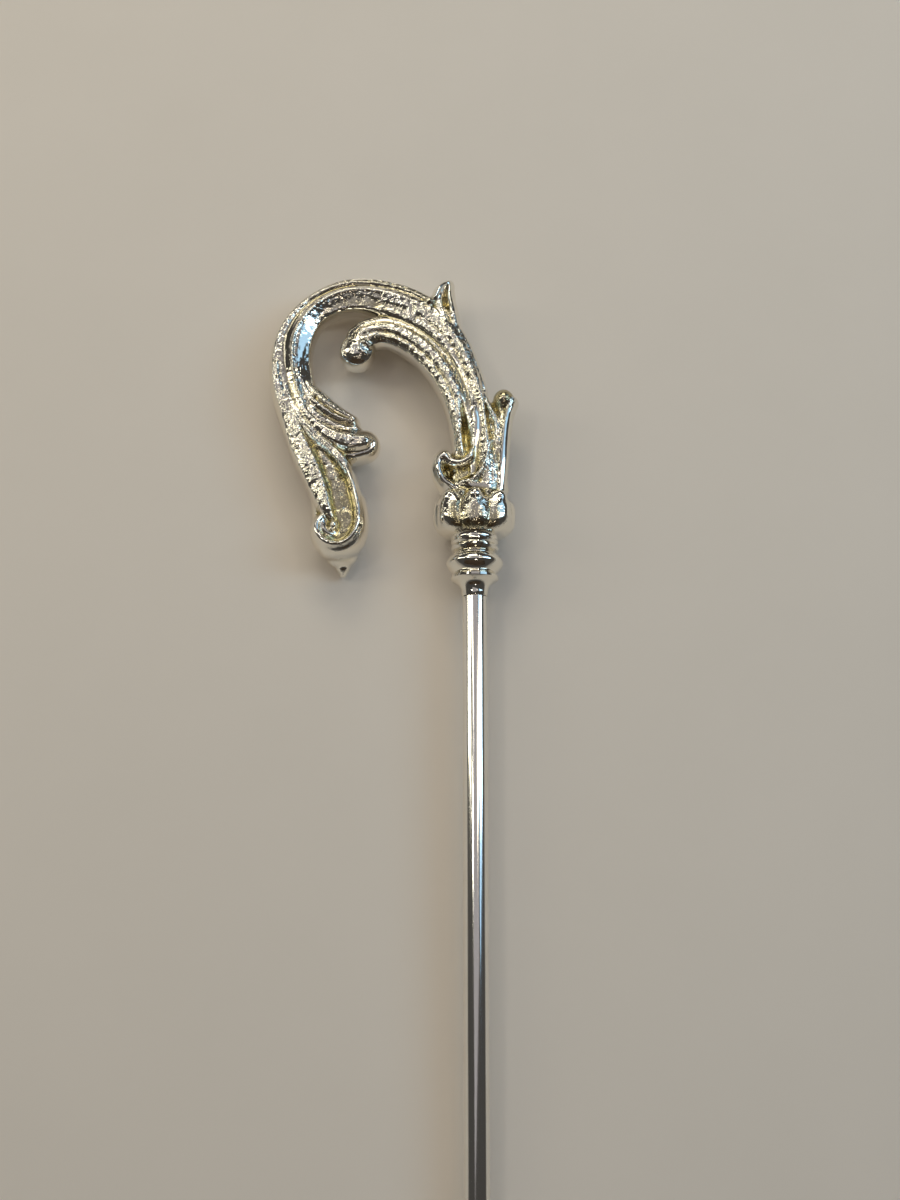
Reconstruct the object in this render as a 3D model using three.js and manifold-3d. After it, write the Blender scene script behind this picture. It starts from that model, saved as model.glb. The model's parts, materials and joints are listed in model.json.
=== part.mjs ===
// A small bishop's crosier for a statue: a cast crook with its lobed knop and
// turned collar, on a plain round rod. Millimetres, +Z up.
//
// The crosier is drawn upright in its own plane: x to the right, y up the rod
// from the lower end of the neck, z out of its front face. At the end it is
// laid on its back on the ground, with the crook towards +Y.
import * as THREE from "three";
import { mergeVertices } from "three/addons/utils/BufferGeometryUtils.js";
import Module from "manifold-3d";

const wasm = await Module();
wasm.setup();

// Driving dimensions.
const OVERALL_LENGTH = 280;
const HEAD_HEIGHT = 42.2;
const ROD_RADIUS = 1.5;
const ROD_SIDES = 24;
const FOOT_CHAMFER = 0.25;
const NECK_RADIUS = 1.63;
const SOCKET_RADIUS = 1.1;
const SOCKET_DEPTH = 5;
const FIT_GAP = 0.1;
const COLLAR_SIDES = 28;

// The rounded side walls of the casting stand out this far at half height.
const WALL_SWELL = 0.45;

// The knop: eight lobes that curl over at the top, each with a small boss.
const KNOP_LOBES = 8;
const KNOP_LOBE_DEPTH = 0.14;
const KNOP_FLATTENING = 0.84;
const KNOP_BOTTOM = 7.1;
const KNOP_HEIGHT = 5.8;
const KNOP_RADIUS = 5.15;
const KNOP_STEPS_ROUND = 48;
const KNOP_STEPS_HIGH = 8;
const BOSS_RADIUS = 0.85;
const BOSS_RING_RADIUS = 4.05;
const BOSS_HEIGHT = 11.9;

// Round ends of the crook: the ball of the inner branch, the disc and the eye
// of the tail's scroll, and the knob of the side bud.
const BALL = { at: [-14.95, 32.2, 0], radii: [2.25, 2.25, 2.4] };
const TAIL_EYE = { at: [-18.1, 8.8, 2.2], radii: [1.15, 1.1, 1.4] };
const BUD_KNOB = { at: [3.9, 26, 0], radii: [1.55, 1.4, 2] };
const SCROLL_BOSS = { at: [-2.6, 16.8, 0], radii: [1.7, 2, 1.7] };
const TAIL_DISC = { at: [-16.95, 8.4], radius: 2.75, swell: 0.75, front: 2.9, back: 3.4 };

// The strands of the crook. Each is a fluted bar that follows a smooth line:
// `line` holds the few points that the centre line bends through, `half` the
// half width of its face there, and `front` and `back` how high the face and
// the plainer back stand from the middle plane. A flute is a hollow across the
// face, where `at` runs from -1 on the right of travel to 1 on the left.
const STRANDS = {
  arm: {
    line: [[1.2, 11], [1.1, 17], [0.8, 22.5], [0, 27.5], [-2.4, 33], [-5.8, 36.9], [-10.6, 39.3],
      [-16, 40], [-20.4, 38], [-22.9, 34.2], [-23.4, 29.5], [-22.2, 24.6], [-20, 19],
      [-18.1, 14.3], [-17.1, 8.6]],
    half: [1.5, 1.6, 1.2, 1.15, 1.6, 2.1, 2.15, 1.9, 1.75, 2.1, 2.4, 2.55, 2.4, 2.35, 2.6],
    front: [2.2, 2.5, 2.7, 2.7, 2.6, 2.4, 2.1, 2.1, 2.3, 2.6, 2.9, 3, 2.9, 2.6, 2.3],
    back: [2.2, 2.5, 2.5, 2.5, 2.4, 2.2, 2, 2, 2.2, 2.5, 2.7, 2.8, 2.9, 3, 3],
    flutes: [
      { at: [-0.7, -0.6, -0.25, -0.25, -0.4], half: [0.1, 0.25, 0.34, 0.3, 0.3], depth: [0, 0.35, 0.9, 0.2, 0] },
      { at: [0.45, 0.3, 0.7, 0.6, 0.35], half: [0.3, 0.45, 0.28, 0.35, 0.5], depth: [0.3, 0.6, 0.4, 0.4, 0.8] },
    ],
    across: 10,
    along: 40,
  },
  branch: {
    line: [[-0.8, 11], [-0.9, 16.5], [-1.2, 21], [-2.2, 25.7], [-4.3, 30], [-7.6, 33.4],
      [-11.4, 35.1], [-14.4, 34.2], [-14.9, 32.6]],
    half: [1.3, 1.3, 1.3, 1.5, 1.65, 1.65, 1.6, 1.6, 1.2],
    front: [2, 2.3, 2.5, 2.5, 2.4, 2.2, 2, 2, 1.9],
    back: [2, 2.3, 2.4, 2.4, 2.3, 2.1, 2, 2, 1.9],
    flutes: [
      { at: [0, 0.1, 0.1, 0.1, 0], half: [0.5, 0.6, 0.5, 0.55, 0.5], depth: [0, 1.3, 0.3, 0.35, 0.2] },
    ],
    across: 6,
    along: 24,
  },
  bud: {
    line: [[2.4, 11], [2.8, 16], [3.3, 20.5], [3.8, 24], [3.95, 26]],
    half: [0.9, 0.8, 0.65, 0.6, 0.8],
    front: [1.8, 2.1, 2.1, 1.9, 1.6],
    back: [1.8, 2, 2, 1.8, 1.5],
    across: 4,
    along: 12,
  },
  thorn: {
    line: [[-1.9, 33], [-2.9, 36.4], [-3.7, 38.6], [-3.7, 40.3], [-3.35, 42.2]],
    half: [0.9, 1.1, 1.05, 0.65, 0.12],
    front: [2, 2.5, 2.3, 1.9, 1.1],
    back: [2, 2.1, 1.9, 1.5, 0.8],
    flutes: [{ at: [0, 0, 0], half: [0.6, 0.6, 0.6], depth: [0, 0.9, 0.3] }],
    across: 6,
    along: 12,
  },
  upper_leaf: {
    line: [[-22, 28.5], [-20.6, 26.2], [-18.7, 24.6], [-16.9, 23.3], [-15.2, 22.6]],
    half: [0.7, 0.85, 0.85, 0.75, 0.55],
    front: [2.4, 2.9, 3, 2.8, 2.3],
    back: [2, 2.3, 2.4, 2.3, 1.9],
    across: 4,
    along: 14,
  },
  middle_leaf: {
    line: [[-22.6, 27], [-20.9, 24], [-18.7, 21.9], [-16.4, 20.5], [-14.2, 19.9], [-12.4, 19.5]],
    half: [0.8, 1, 1.2, 1.3, 0.95, 0.12],
    front: [2.6, 3.1, 3.3, 3.2, 2.7, 1.8],
    back: [2, 2.5, 2.7, 2.7, 2.3, 1.4],
    flutes: [{ at: [0.3, 0.35, 0.3], half: [0.4, 0.4, 0.4], depth: [0.2, 0.35, 0.1] }],
    across: 6,
    along: 18,
  },
  tail_ridge: {
    line: [[-22.2, 21.5], [-20.4, 17.6], [-19.1, 14.4], [-18.4, 12.2], [-18, 10.5]],
    half: [1, 1.2, 1.1, 0.85, 0.4],
    front: [2.6, 3.3, 3.4, 3.2, 2.7],
    back: [1.5, 2, 2, 2, 1.5],
    across: 4,
    along: 12,
  },
  tail_rim: {
    line: [[-17, 18], [-15.6, 14.8], [-14.8, 12], [-14.4, 9], [-15.2, 6.8], [-17, 5.9],
      [-18.8, 6.7], [-19.4, 8.4], [-18.9, 9.9]],
    half: [0.4, 0.45, 0.45, 0.45, 0.45, 0.45, 0.45, 0.5, 0.35],
    front: [2.5, 3, 3.1, 3.2, 3.2, 3.2, 3.2, 3.2, 2.9],
    back: [1.5, 2, 2.4, 2.4, 2.4, 2.4, 2.4, 2.4, 2],
    across: 2,
    along: 24,
  },
  foot_scroll: {
    line: [[-1.2, 18.6], [-2.8, 18.8], [-4.1, 18.2], [-4.6, 16.8], [-4, 15.3], [-2.6, 14.4], [-1.2, 13.6]],
    half: [0.3, 0.5, 0.65, 0.65, 0.65, 0.7, 0.6],
    front: [1.6, 2, 2.2, 2.3, 2.3, 2.2, 1.8],
    back: [1.4, 1.8, 2, 2.1, 2.1, 2, 1.6],
    across: 2,
    along: 14,
  },
  foot_hook: {
    line: [[0.1, 18.6], [-0.9, 17.2], [-2.3, 16.5], [-3.5, 16.9]],
    half: [0.35, 0.45, 0.45, 0.25],
    front: [2.2, 2.5, 2.4, 1.9],
    back: [1.2, 1.5, 1.5, 1.2],
    across: 2,
    along: 12,
  },
  stem_web: {
    line: [[0.4, 11], [0.2, 14.5], [0.5, 17.5], [1.3, 21.3], [2.2, 24.6]],
    half: [3.2, 2.9, 2.7, 1.7, 0.5],
    front: [1.9, 1.7, 1.5, 1.5, 1.2],
    back: [1.9, 1.9, 1.8, 1.6, 1.2],
    across: 4,
    along: 10,
  },
};

// The turned collar, from the neck's lower end up: [radius, height] of each
// corner, with the bulb between its two ends worked out as an arc.
const BULB = { from: 2.85, to: 5.1, edgeRadius: 2.6, radius: 3.56 };
const BELOW_BULB = [[NECK_RADIUS, 0], [NECK_RADIUS, 1.4], [2.6, 2.05], [2.9, 2.2], [2.9, 2.6], [2.55, 2.75]];
const ABOVE_BULB = [[2.5, 5.25], [2.95, 5.35], [3.05, 5.75], [2.95, 6.15], [2.7, 6.25], [2.95, 6.4],
  [3.1, 6.75], [2.95, 7.1]];
const COLLAR_TOP = 9;

/** A smooth curve through evenly spaced values, with t from 0 to 1. */
function smooth(values, t) {
  const last = values.length - 1;
  const i = Math.min(Math.floor(t * last), last - 1);
  const f = t * last - i;
  const value = (k) => values[Math.min(Math.max(k, 0), last)];
  const [a, b, c, d] = [value(i - 1), value(i), value(i + 1), value(i + 2)];
  return b + 0.5 * f * (c - a + f * (2 * a - 5 * b + 4 * c - d + f * (3 * (b - c) + d - a)));
}

/** The centre of a strand at t, and the unit direction across it to the left. */
function strandFrame(strand, t) {
  const xs = strand.line.map((p) => p[0]);
  const ys = strand.line.map((p) => p[1]);
  const step = 0.002;
  const before = Math.max(t - step, 0);
  const after = Math.min(t + step, 1);
  const along = new THREE.Vector2(smooth(xs, after) - smooth(xs, before), smooth(ys, after) - smooth(ys, before));
  along.normalize();
  return { x: smooth(xs, t), y: smooth(ys, t), acrossX: -along.y, acrossY: along.x };
}

/** How deep the strand's flutes are at t and at u across its face. */
function fluteDepth(strand, t, u) {
  let depth = 0;
  for (const flute of strand.flutes ?? []) {
    const reach = Math.abs(u - smooth(flute.at, t)) / smooth(flute.half, t);
    depth += reach < 1 ? smooth(flute.depth, t) * (0.5 + 0.5 * Math.cos(Math.PI * reach)) : 0;
  }
  return Math.max(depth, 0);
}

/** The closed outline of a strand's section at t, as [across, height] points. */
function strandSection(strand, t) {
  const half = smooth(strand.half, t);
  const front = smooth(strand.front, t);
  const back = smooth(strand.back, t);
  const crown = 0.16;
  const backFlutes = 0.3;
  const swell = WALL_SWELL * Math.min(half, 1);
  const face = (u) => front * (1 - crown * u * u) - fluteDepth(strand, t, u);
  const rear = (u) => -back * (1 - crown * u * u) + backFlutes * fluteDepth(strand, t, u);
  const points = [];
  for (let i = 0; i <= strand.across; i += 1) {
    const u = 1 - (2 * i) / strand.across;
    points.push([u * half, face(u)]);
  }
  points.push([-half - 0.7 * swell, 0.5 * front], [-half - swell, 0], [-half - 0.7 * swell, -0.5 * back]);
  const rearSteps = Math.ceil(strand.across / 2);
  for (let i = 0; i <= rearSteps; i += 1) {
    const u = -1 + (2 * i) / rearSteps;
    points.push([u * half, rear(u)]);
  }
  points.push([half + 0.7 * swell, -0.5 * back], [half + swell, 0], [half + 0.7 * swell, 0.5 * front]);
  return points;
}

/** A closed mesh from rings of points, with a fan over each end. */
function ringsGeometry(rings) {
  const count = rings[0].length;
  const positions = rings.flat();
  const index = [];
  for (let r = 0; r + 1 < rings.length; r += 1) {
    for (let i = 0; i < count; i += 1) {
      const j = (i + 1) % count;
      const [a, b, c, d] = [r * count + i, r * count + j, (r + 1) * count + j, (r + 1) * count + i];
      index.push(a, b, c, a, c, d);
    }
  }
  const middle = (ring) => [0, 1, 2].map((k) => ring.reduce((sum, p) => sum + p[k], 0) / count);
  const start = positions.push(middle(rings[0])) - 1;
  const end = positions.push(middle(rings.at(-1))) - 1;
  const lastRing = (rings.length - 1) * count;
  for (let i = 0; i < count; i += 1) {
    const j = (i + 1) % count;
    index.push(start, j, i);
    index.push(end, lastRing + i, lastRing + j);
  }
  const geometry = new THREE.BufferGeometry();
  geometry.setAttribute("position", new THREE.Float32BufferAttribute(positions.flat(), 3));
  geometry.setIndex(index);
  return geometry;
}

/** One fluted strand of the crook as a closed mesh. */
function strandGeometry(strand) {
  const rings = [];
  for (let s = 0; s <= strand.along; s += 1) {
    const t = s / strand.along;
    const at = strandFrame(strand, t);
    const place = ([across, height]) => [at.x + across * at.acrossX, at.y + across * at.acrossY, height];
    rings.push(strandSection(strand, t).map(place));
  }
  return ringsGeometry(rings);
}

/** A rounded lump: a sphere with its own radius along each axis. */
function lumpGeometry({ at, radii }, around = 16, high = 8) {
  return new THREE.SphereGeometry(1, around, high).scale(...radii).translate(...at);
}

/** The round disc that the tail's scroll turns on, with swelling walls. */
function tailDiscGeometry({ at, radius, swell, front, back }) {
  const swollen = radius + swell;
  const profile = [[0, -back], [radius - 0.2, -0.85 * back], [swollen - 0.1, -0.5 * back], [swollen, 0],
    [swollen - 0.1, 0.5 * front], [radius, 0.85 * front], [radius - 0.8, 0.8 * front], [0, 0.8 * front]];
  const points = profile.map(([r, z]) => new THREE.Vector2(r, z));
  return new THREE.LatheGeometry(points, 24).rotateX(Math.PI / 2).translate(at[0], at[1], 0);
}

/** The lobed knop, round the rod's axis and a little flat front to back. */
function knopGeometry() {
  const rings = [];
  for (let k = 0; k <= KNOP_STEPS_HIGH; k += 1) {
    const h = k / KNOP_STEPS_HIGH;
    const belly = 0.45 + 0.55 * Math.sin(Math.PI * (0.08 + 0.84 * h ** 1.1)) ** 0.8;
    const ring = [];
    for (let i = 0; i < KNOP_STEPS_ROUND; i += 1) {
      const angle = (2 * Math.PI * i) / KNOP_STEPS_ROUND;
      const cleft = 1 - Math.abs(Math.cos((KNOP_LOBES / 2) * angle)) ** 0.7;
      const radius = KNOP_RADIUS * belly * (1 - KNOP_LOBE_DEPTH * cleft);
      const x = radius * Math.sin(angle);
      ring.push([x, KNOP_BOTTOM + KNOP_HEIGHT * h, KNOP_FLATTENING * radius * Math.cos(angle)]);
    }
    rings.push(ring);
  }
  return ringsGeometry(rings);
}

/** The turned collar under the knop, on the rod's axis. */
function collarGeometry() {
  const bulb = [];
  const steps = 7;
  for (let i = 0; i <= steps; i += 1) {
    const h = i / steps;
    const swell = Math.sin(Math.PI * h) ** 0.9;
    bulb.push([BULB.edgeRadius + (BULB.radius - BULB.edgeRadius) * swell, BULB.from + (BULB.to - BULB.from) * h]);
  }
  const last = ABOVE_BULB.at(-1)[0];
  const profile = [[0, 0], ...BELOW_BULB, ...bulb, ...ABOVE_BULB, [last, COLLAR_TOP], [0, COLLAR_TOP]];
  return new THREE.LatheGeometry(profile.map(([r, y]) => new THREE.Vector2(r, y)), COLLAR_SIDES);
}

/** A plain round bar on the rod's axis, as [radius, height] corners. */
function turnedGeometry(corners, sides) {
  return new THREE.LatheGeometry(corners.map(([r, y]) => new THREE.Vector2(r, y)), sides);
}

/** A closed three.js geometry as a solid that can be joined and cut. */
function toSolid(geometry) {
  const bare = geometry.clone();
  bare.deleteAttribute("normal");
  bare.deleteAttribute("uv");
  const merged = mergeVertices(bare, 1e-4);
  const corners = merged.index.array;
  const triangles = [];
  for (let i = 0; i < corners.length; i += 3) {
    const [a, b, c] = [corners[i], corners[i + 1], corners[i + 2]];
    if (a !== b && b !== c && c !== a) triangles.push(a, b, c);
  }
  const vertProperties = new Float32Array(merged.attributes.position.array);
  const triVerts = new Uint32Array(triangles);
  return new wasm.Manifold(new wasm.Mesh({ numProp: 3, vertProperties, triVerts }));
}

/** A solid back as a three.js geometry. */
function toGeometry(solid) {
  const mesh = solid.getMesh();
  const geometry = new THREE.BufferGeometry();
  geometry.setAttribute("position", new THREE.BufferAttribute(mesh.vertProperties, 3));
  geometry.setIndex(new THREE.BufferAttribute(mesh.triVerts, 1));
  geometry.computeVertexNormals();
  return geometry;
}

/** The whole casting: crook, knop, collar and neck, with the rod's socket. */
function crookHeadGeometry() {
  const pieces = Object.values(STRANDS).map(strandGeometry);
  pieces.push(lumpGeometry(BALL), lumpGeometry(BUD_KNOB, 12, 8), lumpGeometry(TAIL_EYE, 12, 8));
  pieces.push(lumpGeometry(SCROLL_BOSS, 12, 8));
  pieces.push(tailDiscGeometry(TAIL_DISC), knopGeometry(), collarGeometry());
  for (let i = 0; i < KNOP_LOBES; i += 1) {
    const angle = (2 * Math.PI * i) / KNOP_LOBES;
    const x = BOSS_RING_RADIUS * Math.sin(angle);
    const z = KNOP_FLATTENING * BOSS_RING_RADIUS * Math.cos(angle);
    pieces.push(lumpGeometry({ at: [x, BOSS_HEIGHT, z], radii: [BOSS_RADIUS, BOSS_RADIUS, BOSS_RADIUS] }, 8, 5));
  }
  const whole = pieces.map(toSolid).reduce((joined, piece) => joined.add(piece));
  const socket = [[0, -1], [SOCKET_RADIUS, -1], [SOCKET_RADIUS, SOCKET_DEPTH], [0, SOCKET_DEPTH]];
  const hollowed = whole.subtract(toSolid(turnedGeometry(socket, ROD_SIDES)));
  const sliver = 0.04;
  return toGeometry(hollowed.simplify(sliver));
}

/** The rod: a chamfered foot, a plain length, and the spigot in the neck. */
function rodGeometry() {
  const foot = HEAD_HEIGHT - OVERALL_LENGTH;
  const spigot = SOCKET_RADIUS - FIT_GAP;
  const corners = [[0, foot], [ROD_RADIUS - FOOT_CHAMFER, foot], [ROD_RADIUS, foot + FOOT_CHAMFER],
    [ROD_RADIUS, -FIT_GAP], [spigot, -FIT_GAP], [spigot, SOCKET_DEPTH - FIT_GAP], [0, SOCKET_DEPTH - FIT_GAP]];
  return turnedGeometry(corners, ROD_SIDES);
}

const castSilver = new THREE.MeshStandardMaterial({ color: 0xd9d4c4, roughness: 0.22, metalness: 1 });
const drawnSilver = new THREE.MeshStandardMaterial({ color: 0xdcdad2, roughness: 0.1, metalness: 1 });

const head = new THREE.Mesh(crookHeadGeometry(), castSilver);
head.name = "crook_head";
const rod = new THREE.Mesh(rodGeometry(), drawnSilver);
rod.name = "staff_rod";

const crosier = new THREE.Group();
crosier.add(head, rod);

// Laid on its back: it rests on the foot of the rod, the back of the knop and
// the back of the tail's scroll, which stand at different depths behind the
// axis, so it lies pitched and rolled a little.
const knopBack = KNOP_FLATTENING * KNOP_RADIUS;
const restPitch = Math.atan2(knopBack - ROD_RADIUS, OVERALL_LENGTH - HEAD_HEIGHT + KNOP_BOTTOM);
const restRoll = Math.atan2(knopBack - TAIL_DISC.back, -TAIL_DISC.at[0]);
crosier.rotation.set(restPitch, -restRoll, 0, "YXZ");

// The origin is on the ground, under the middle of the crosier's box.
crosier.updateMatrixWorld(true);
const box = new THREE.Box3().setFromObject(crosier, true);
const middle = box.getCenter(new THREE.Vector3());
crosier.position.set(-middle.x, -middle.y, -box.min.z);

export default crosier;
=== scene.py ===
"""The looks of a small silver-plated bishop's crosier, lying on its back.

The crosier is drawn upright in its own plane, in millimetres: x to the right,
y up the rod from the lower end of the neck, z out of the carved front. The
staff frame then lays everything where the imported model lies.
"""

from __future__ import annotations

import json
import logging
import math
from collections.abc import Sequence
from dataclasses import dataclass, field
from enum import Enum

import bpy
import numpy as np
from mathutils import Matrix, Vector

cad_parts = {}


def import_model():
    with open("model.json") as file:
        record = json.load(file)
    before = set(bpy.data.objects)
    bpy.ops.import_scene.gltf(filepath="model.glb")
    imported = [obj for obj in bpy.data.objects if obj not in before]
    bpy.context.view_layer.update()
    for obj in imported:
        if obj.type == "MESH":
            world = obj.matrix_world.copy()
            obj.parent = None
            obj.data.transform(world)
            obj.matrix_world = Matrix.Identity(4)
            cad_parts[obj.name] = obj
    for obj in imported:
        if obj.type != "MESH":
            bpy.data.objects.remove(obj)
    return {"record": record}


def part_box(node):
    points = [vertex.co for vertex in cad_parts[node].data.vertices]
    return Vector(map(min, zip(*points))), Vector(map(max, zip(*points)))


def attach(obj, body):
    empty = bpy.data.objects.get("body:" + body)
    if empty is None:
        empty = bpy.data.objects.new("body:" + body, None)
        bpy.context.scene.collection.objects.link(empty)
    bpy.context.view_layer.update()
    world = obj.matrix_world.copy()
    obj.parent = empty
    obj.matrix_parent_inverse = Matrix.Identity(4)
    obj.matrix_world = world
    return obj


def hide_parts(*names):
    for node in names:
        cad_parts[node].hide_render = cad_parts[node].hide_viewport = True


LOG = logging.getLogger("crosier")
MM = 0.001
BODY = "root"
HEAD_NODE = "crook_head"
ROD_NODE = "staff_rod"
STEPS_PER_POINT = 30
LEAST_RISE = 0.004
SHARP_ANGLE = 32

Values = tuple[float, ...]
Point = tuple[float, float]


class Slot(Enum):
    """The record's material slots."""

    CAST = "cast_silver"
    DRAWN = "drawn_silver"


# ---------------------------------------------------------------- the frame


@dataclass(frozen=True)
class StaffFrame:
    """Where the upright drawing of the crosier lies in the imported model.

    Attributes:
        matrix: Turns drawing millimetres into the model's metres.
        foot: How high the rod's foot is in the drawing, in millimetres.
    """

    matrix: Matrix
    foot: float

    @classmethod
    def from_pack(cls, record: dict, neck_radius: float) -> StaffFrame:
        """Reads the staff's lie from its foot mount and its head's box.

        Args:
            record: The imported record.
            neck_radius: The radius of the neck's lower end, in millimetres.

        Returns:
            The frame.
        """
        mount = next(m for m in record["mounts"] if m["name"] == "rod_foot")
        along = -Vector(mount["axis"]).normalized()
        roll = math.atan2(along.x, along.z)
        across = Vector((math.cos(roll), 0, -math.sin(roll)))
        out = across.cross(along)
        neck_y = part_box(HEAD_NODE)[0].y + neck_radius * MM * along.z
        start = Vector(mount["pos_m"])
        neck = start + along * ((neck_y - start.y) / along.y)
        turn = Matrix((across, along, out)).transposed().to_4x4()
        matrix = Matrix.Translation(neck) @ turn @ Matrix.Scale(MM, 4)
        return cls(matrix, (matrix.inverted() @ start).y)

    def place(self, point: Sequence[float]) -> Vector:
        """Returns a drawing point in the model's metres."""
        return self.matrix @ Vector(point)

    def lay(self, mesh: bpy.types.Mesh) -> None:
        """Moves a mesh drawn in millimetres to where the model lies."""
        mesh.transform(self.matrix)


# ------------------------------------------------------------- shape helpers


def smooth(values: Sequence[float], t: np.ndarray) -> np.ndarray:
    """Follows a smooth curve through evenly spaced values.

    Args:
        values: The values that the curve passes through.
        t: Where to read it, from 0 at the first value to 1 at the last.

    Returns:
        The curve's value at each t.
    """
    knots = np.asarray(values, np.float32)
    last = len(knots) - 1
    i = np.clip((t * last).astype(int), 0, last - 1)
    f = t * last - i
    a, b, c, d = knots[np.maximum(i - 1, 0)], knots[i], knots[i + 1], knots[np.minimum(i + 2, last)]
    return b + 0.5 * f * (c - a + f * (2 * a - 5 * b + 4 * c - d + f * (3 * (b - c) + d - a)))


def soft_min(a: np.ndarray, b: np.ndarray, reach: float) -> np.ndarray:
    """Returns the lesser of two fields, with a fillet of that reach."""
    near = np.maximum(reach - np.abs(a - b), 0) / reach
    return np.minimum(a, b) - near * near * reach * 0.25


def soft_max(a: np.ndarray, b: np.ndarray, reach: float) -> np.ndarray:
    """Returns the greater of two fields, with a rounding of that reach."""
    return -soft_min(-a, -b, reach)


def bump(reach: np.ndarray) -> np.ndarray:
    """Returns a smooth hump: 1 at no reach, and 0 at a reach of 1 or more."""
    return np.where(reach < 1, 0.5 + 0.5 * np.cos(np.pi * np.minimum(reach, 1)), 0)


@dataclass(frozen=True)
class Grain:
    """Seeded noise over the drawing plane, for the sand-rough cast faces."""

    seed: int = 7
    size: float = 0.46
    octaves: int = 2
    turn: float = 0.6

    def read(self, x: np.ndarray, y: np.ndarray) -> np.ndarray:
        """Returns the noise at each point, from about -1 to 1."""
        total = np.zeros_like(x)
        for octave in range(self.octaves):
            lattice = np.random.default_rng(self.seed + octave).uniform(-1, 1, (256, 256))
            turn = self.turn * (octave + 1)
            scale = 2**octave / self.size
            u = (x * math.cos(turn) - y * math.sin(turn)) * scale + 128
            v = (x * math.sin(turn) + y * math.cos(turn)) * scale + 128
            i, j = np.floor(u).astype(int) % 255, np.floor(v).astype(int) % 255
            f, g = u - np.floor(u), v - np.floor(v)
            f, g = f * f * (3 - 2 * f), g * g * (3 - 2 * g)
            low = lattice[i, j] * (1 - f) + lattice[i + 1, j] * f
            high = lattice[i, j + 1] * (1 - f) + lattice[i + 1, j + 1] * f
            total += (low * (1 - g) + high * g) / 2**octave
        return total


# ------------------------------------------------------------ carved strands


@dataclass(frozen=True)
class Flute:
    """A hollow along a strand's face; a negative depth makes it a bead.

    Each tuple runs evenly from the strand's start to its end. A place across
    the face is -1 on the right of travel and 1 on the left.
    """

    at: Values
    half: Values
    depth: Values

    def cut(self, t: np.ndarray, u: np.ndarray) -> np.ndarray:
        """Returns how deep the flute is, in millimetres."""
        return smooth(self.depth, t) * bump(np.abs(u - smooth(self.at, t)) / smooth(self.half, t))


@dataclass(frozen=True)
class Strand:
    """A fluted bar of the casting that follows a smooth line.

    Attributes:
        line: The points that its centre line bends through.
        half: Half the width of its face along the line.
        front: How high its face stands from the middle plane.
        back: How deep its plainer back stands.
        flutes: The hollows and beads of its face.
        polish: The bands of its face that are smooth, as deep as they are smooth.
        swell: How far its side walls stand out at half height.
        crown: How much its face falls towards its edges.
        slope: How far its face rises on the left of travel.
        streaks: How high the fine lines along its face are.
        rough: How sand-rough its face is, along the line.
    """

    line: tuple[Point, ...]
    half: Values
    front: Values
    back: Values
    flutes: tuple[Flute, ...] = ()
    polish: tuple[Flute, ...] = ()
    swell: float = 0.45
    crown: float = 0.16
    slope: float = 0
    streaks: Values = (0, 0)
    rough: Values = (1, 1)

    def length(self) -> float:
        """Returns how long its centre line is."""
        _, centre = self.stations()
        return float(np.linalg.norm(np.diff(centre, axis=0), axis=1).sum())

    def stations(self) -> tuple[np.ndarray, np.ndarray]:
        """Returns t and the centre point at each of many steps."""
        t = np.linspace(0, 1, STEPS_PER_POINT * len(self.line), dtype=np.float32)
        return t, np.stack([smooth([p[k] for p in self.line], t) for k in (0, 1)], 1)

    def nearest(self, x: np.ndarray, y: np.ndarray) -> tuple[np.ndarray, np.ndarray]:
        """Finds the nearest place on the centre line.

        Args:
            x: The points' x, flat.
            y: The points' y, flat.

        Returns:
            t of the nearest place, and the distance from it, positive on the
            left of travel.
        """
        t, centre = self.stations()
        run = np.gradient(centre, t, axis=0)
        speed = np.linalg.norm(run, axis=1)
        away = (x[:, None] - centre[:, 0]) ** 2 + (y[:, None] - centre[:, 1]) ** 2
        k = np.argmin(away, axis=1)
        dx, dy = x - centre[k, 0], y - centre[k, 1]
        tx, ty = run[k, 0] / speed[k], run[k, 1] / speed[k]
        ahead = dx * tx + dy * ty
        here = np.clip(t[k] + ahead / speed[k], 0, 1)
        moved = (here - t[k]) * speed[k]
        distance = np.sqrt((dx - moved * tx) ** 2 + (dy - moved * ty) ** 2)
        return here, np.where(tx * dy - ty * dx < 0, -distance, distance)


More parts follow.
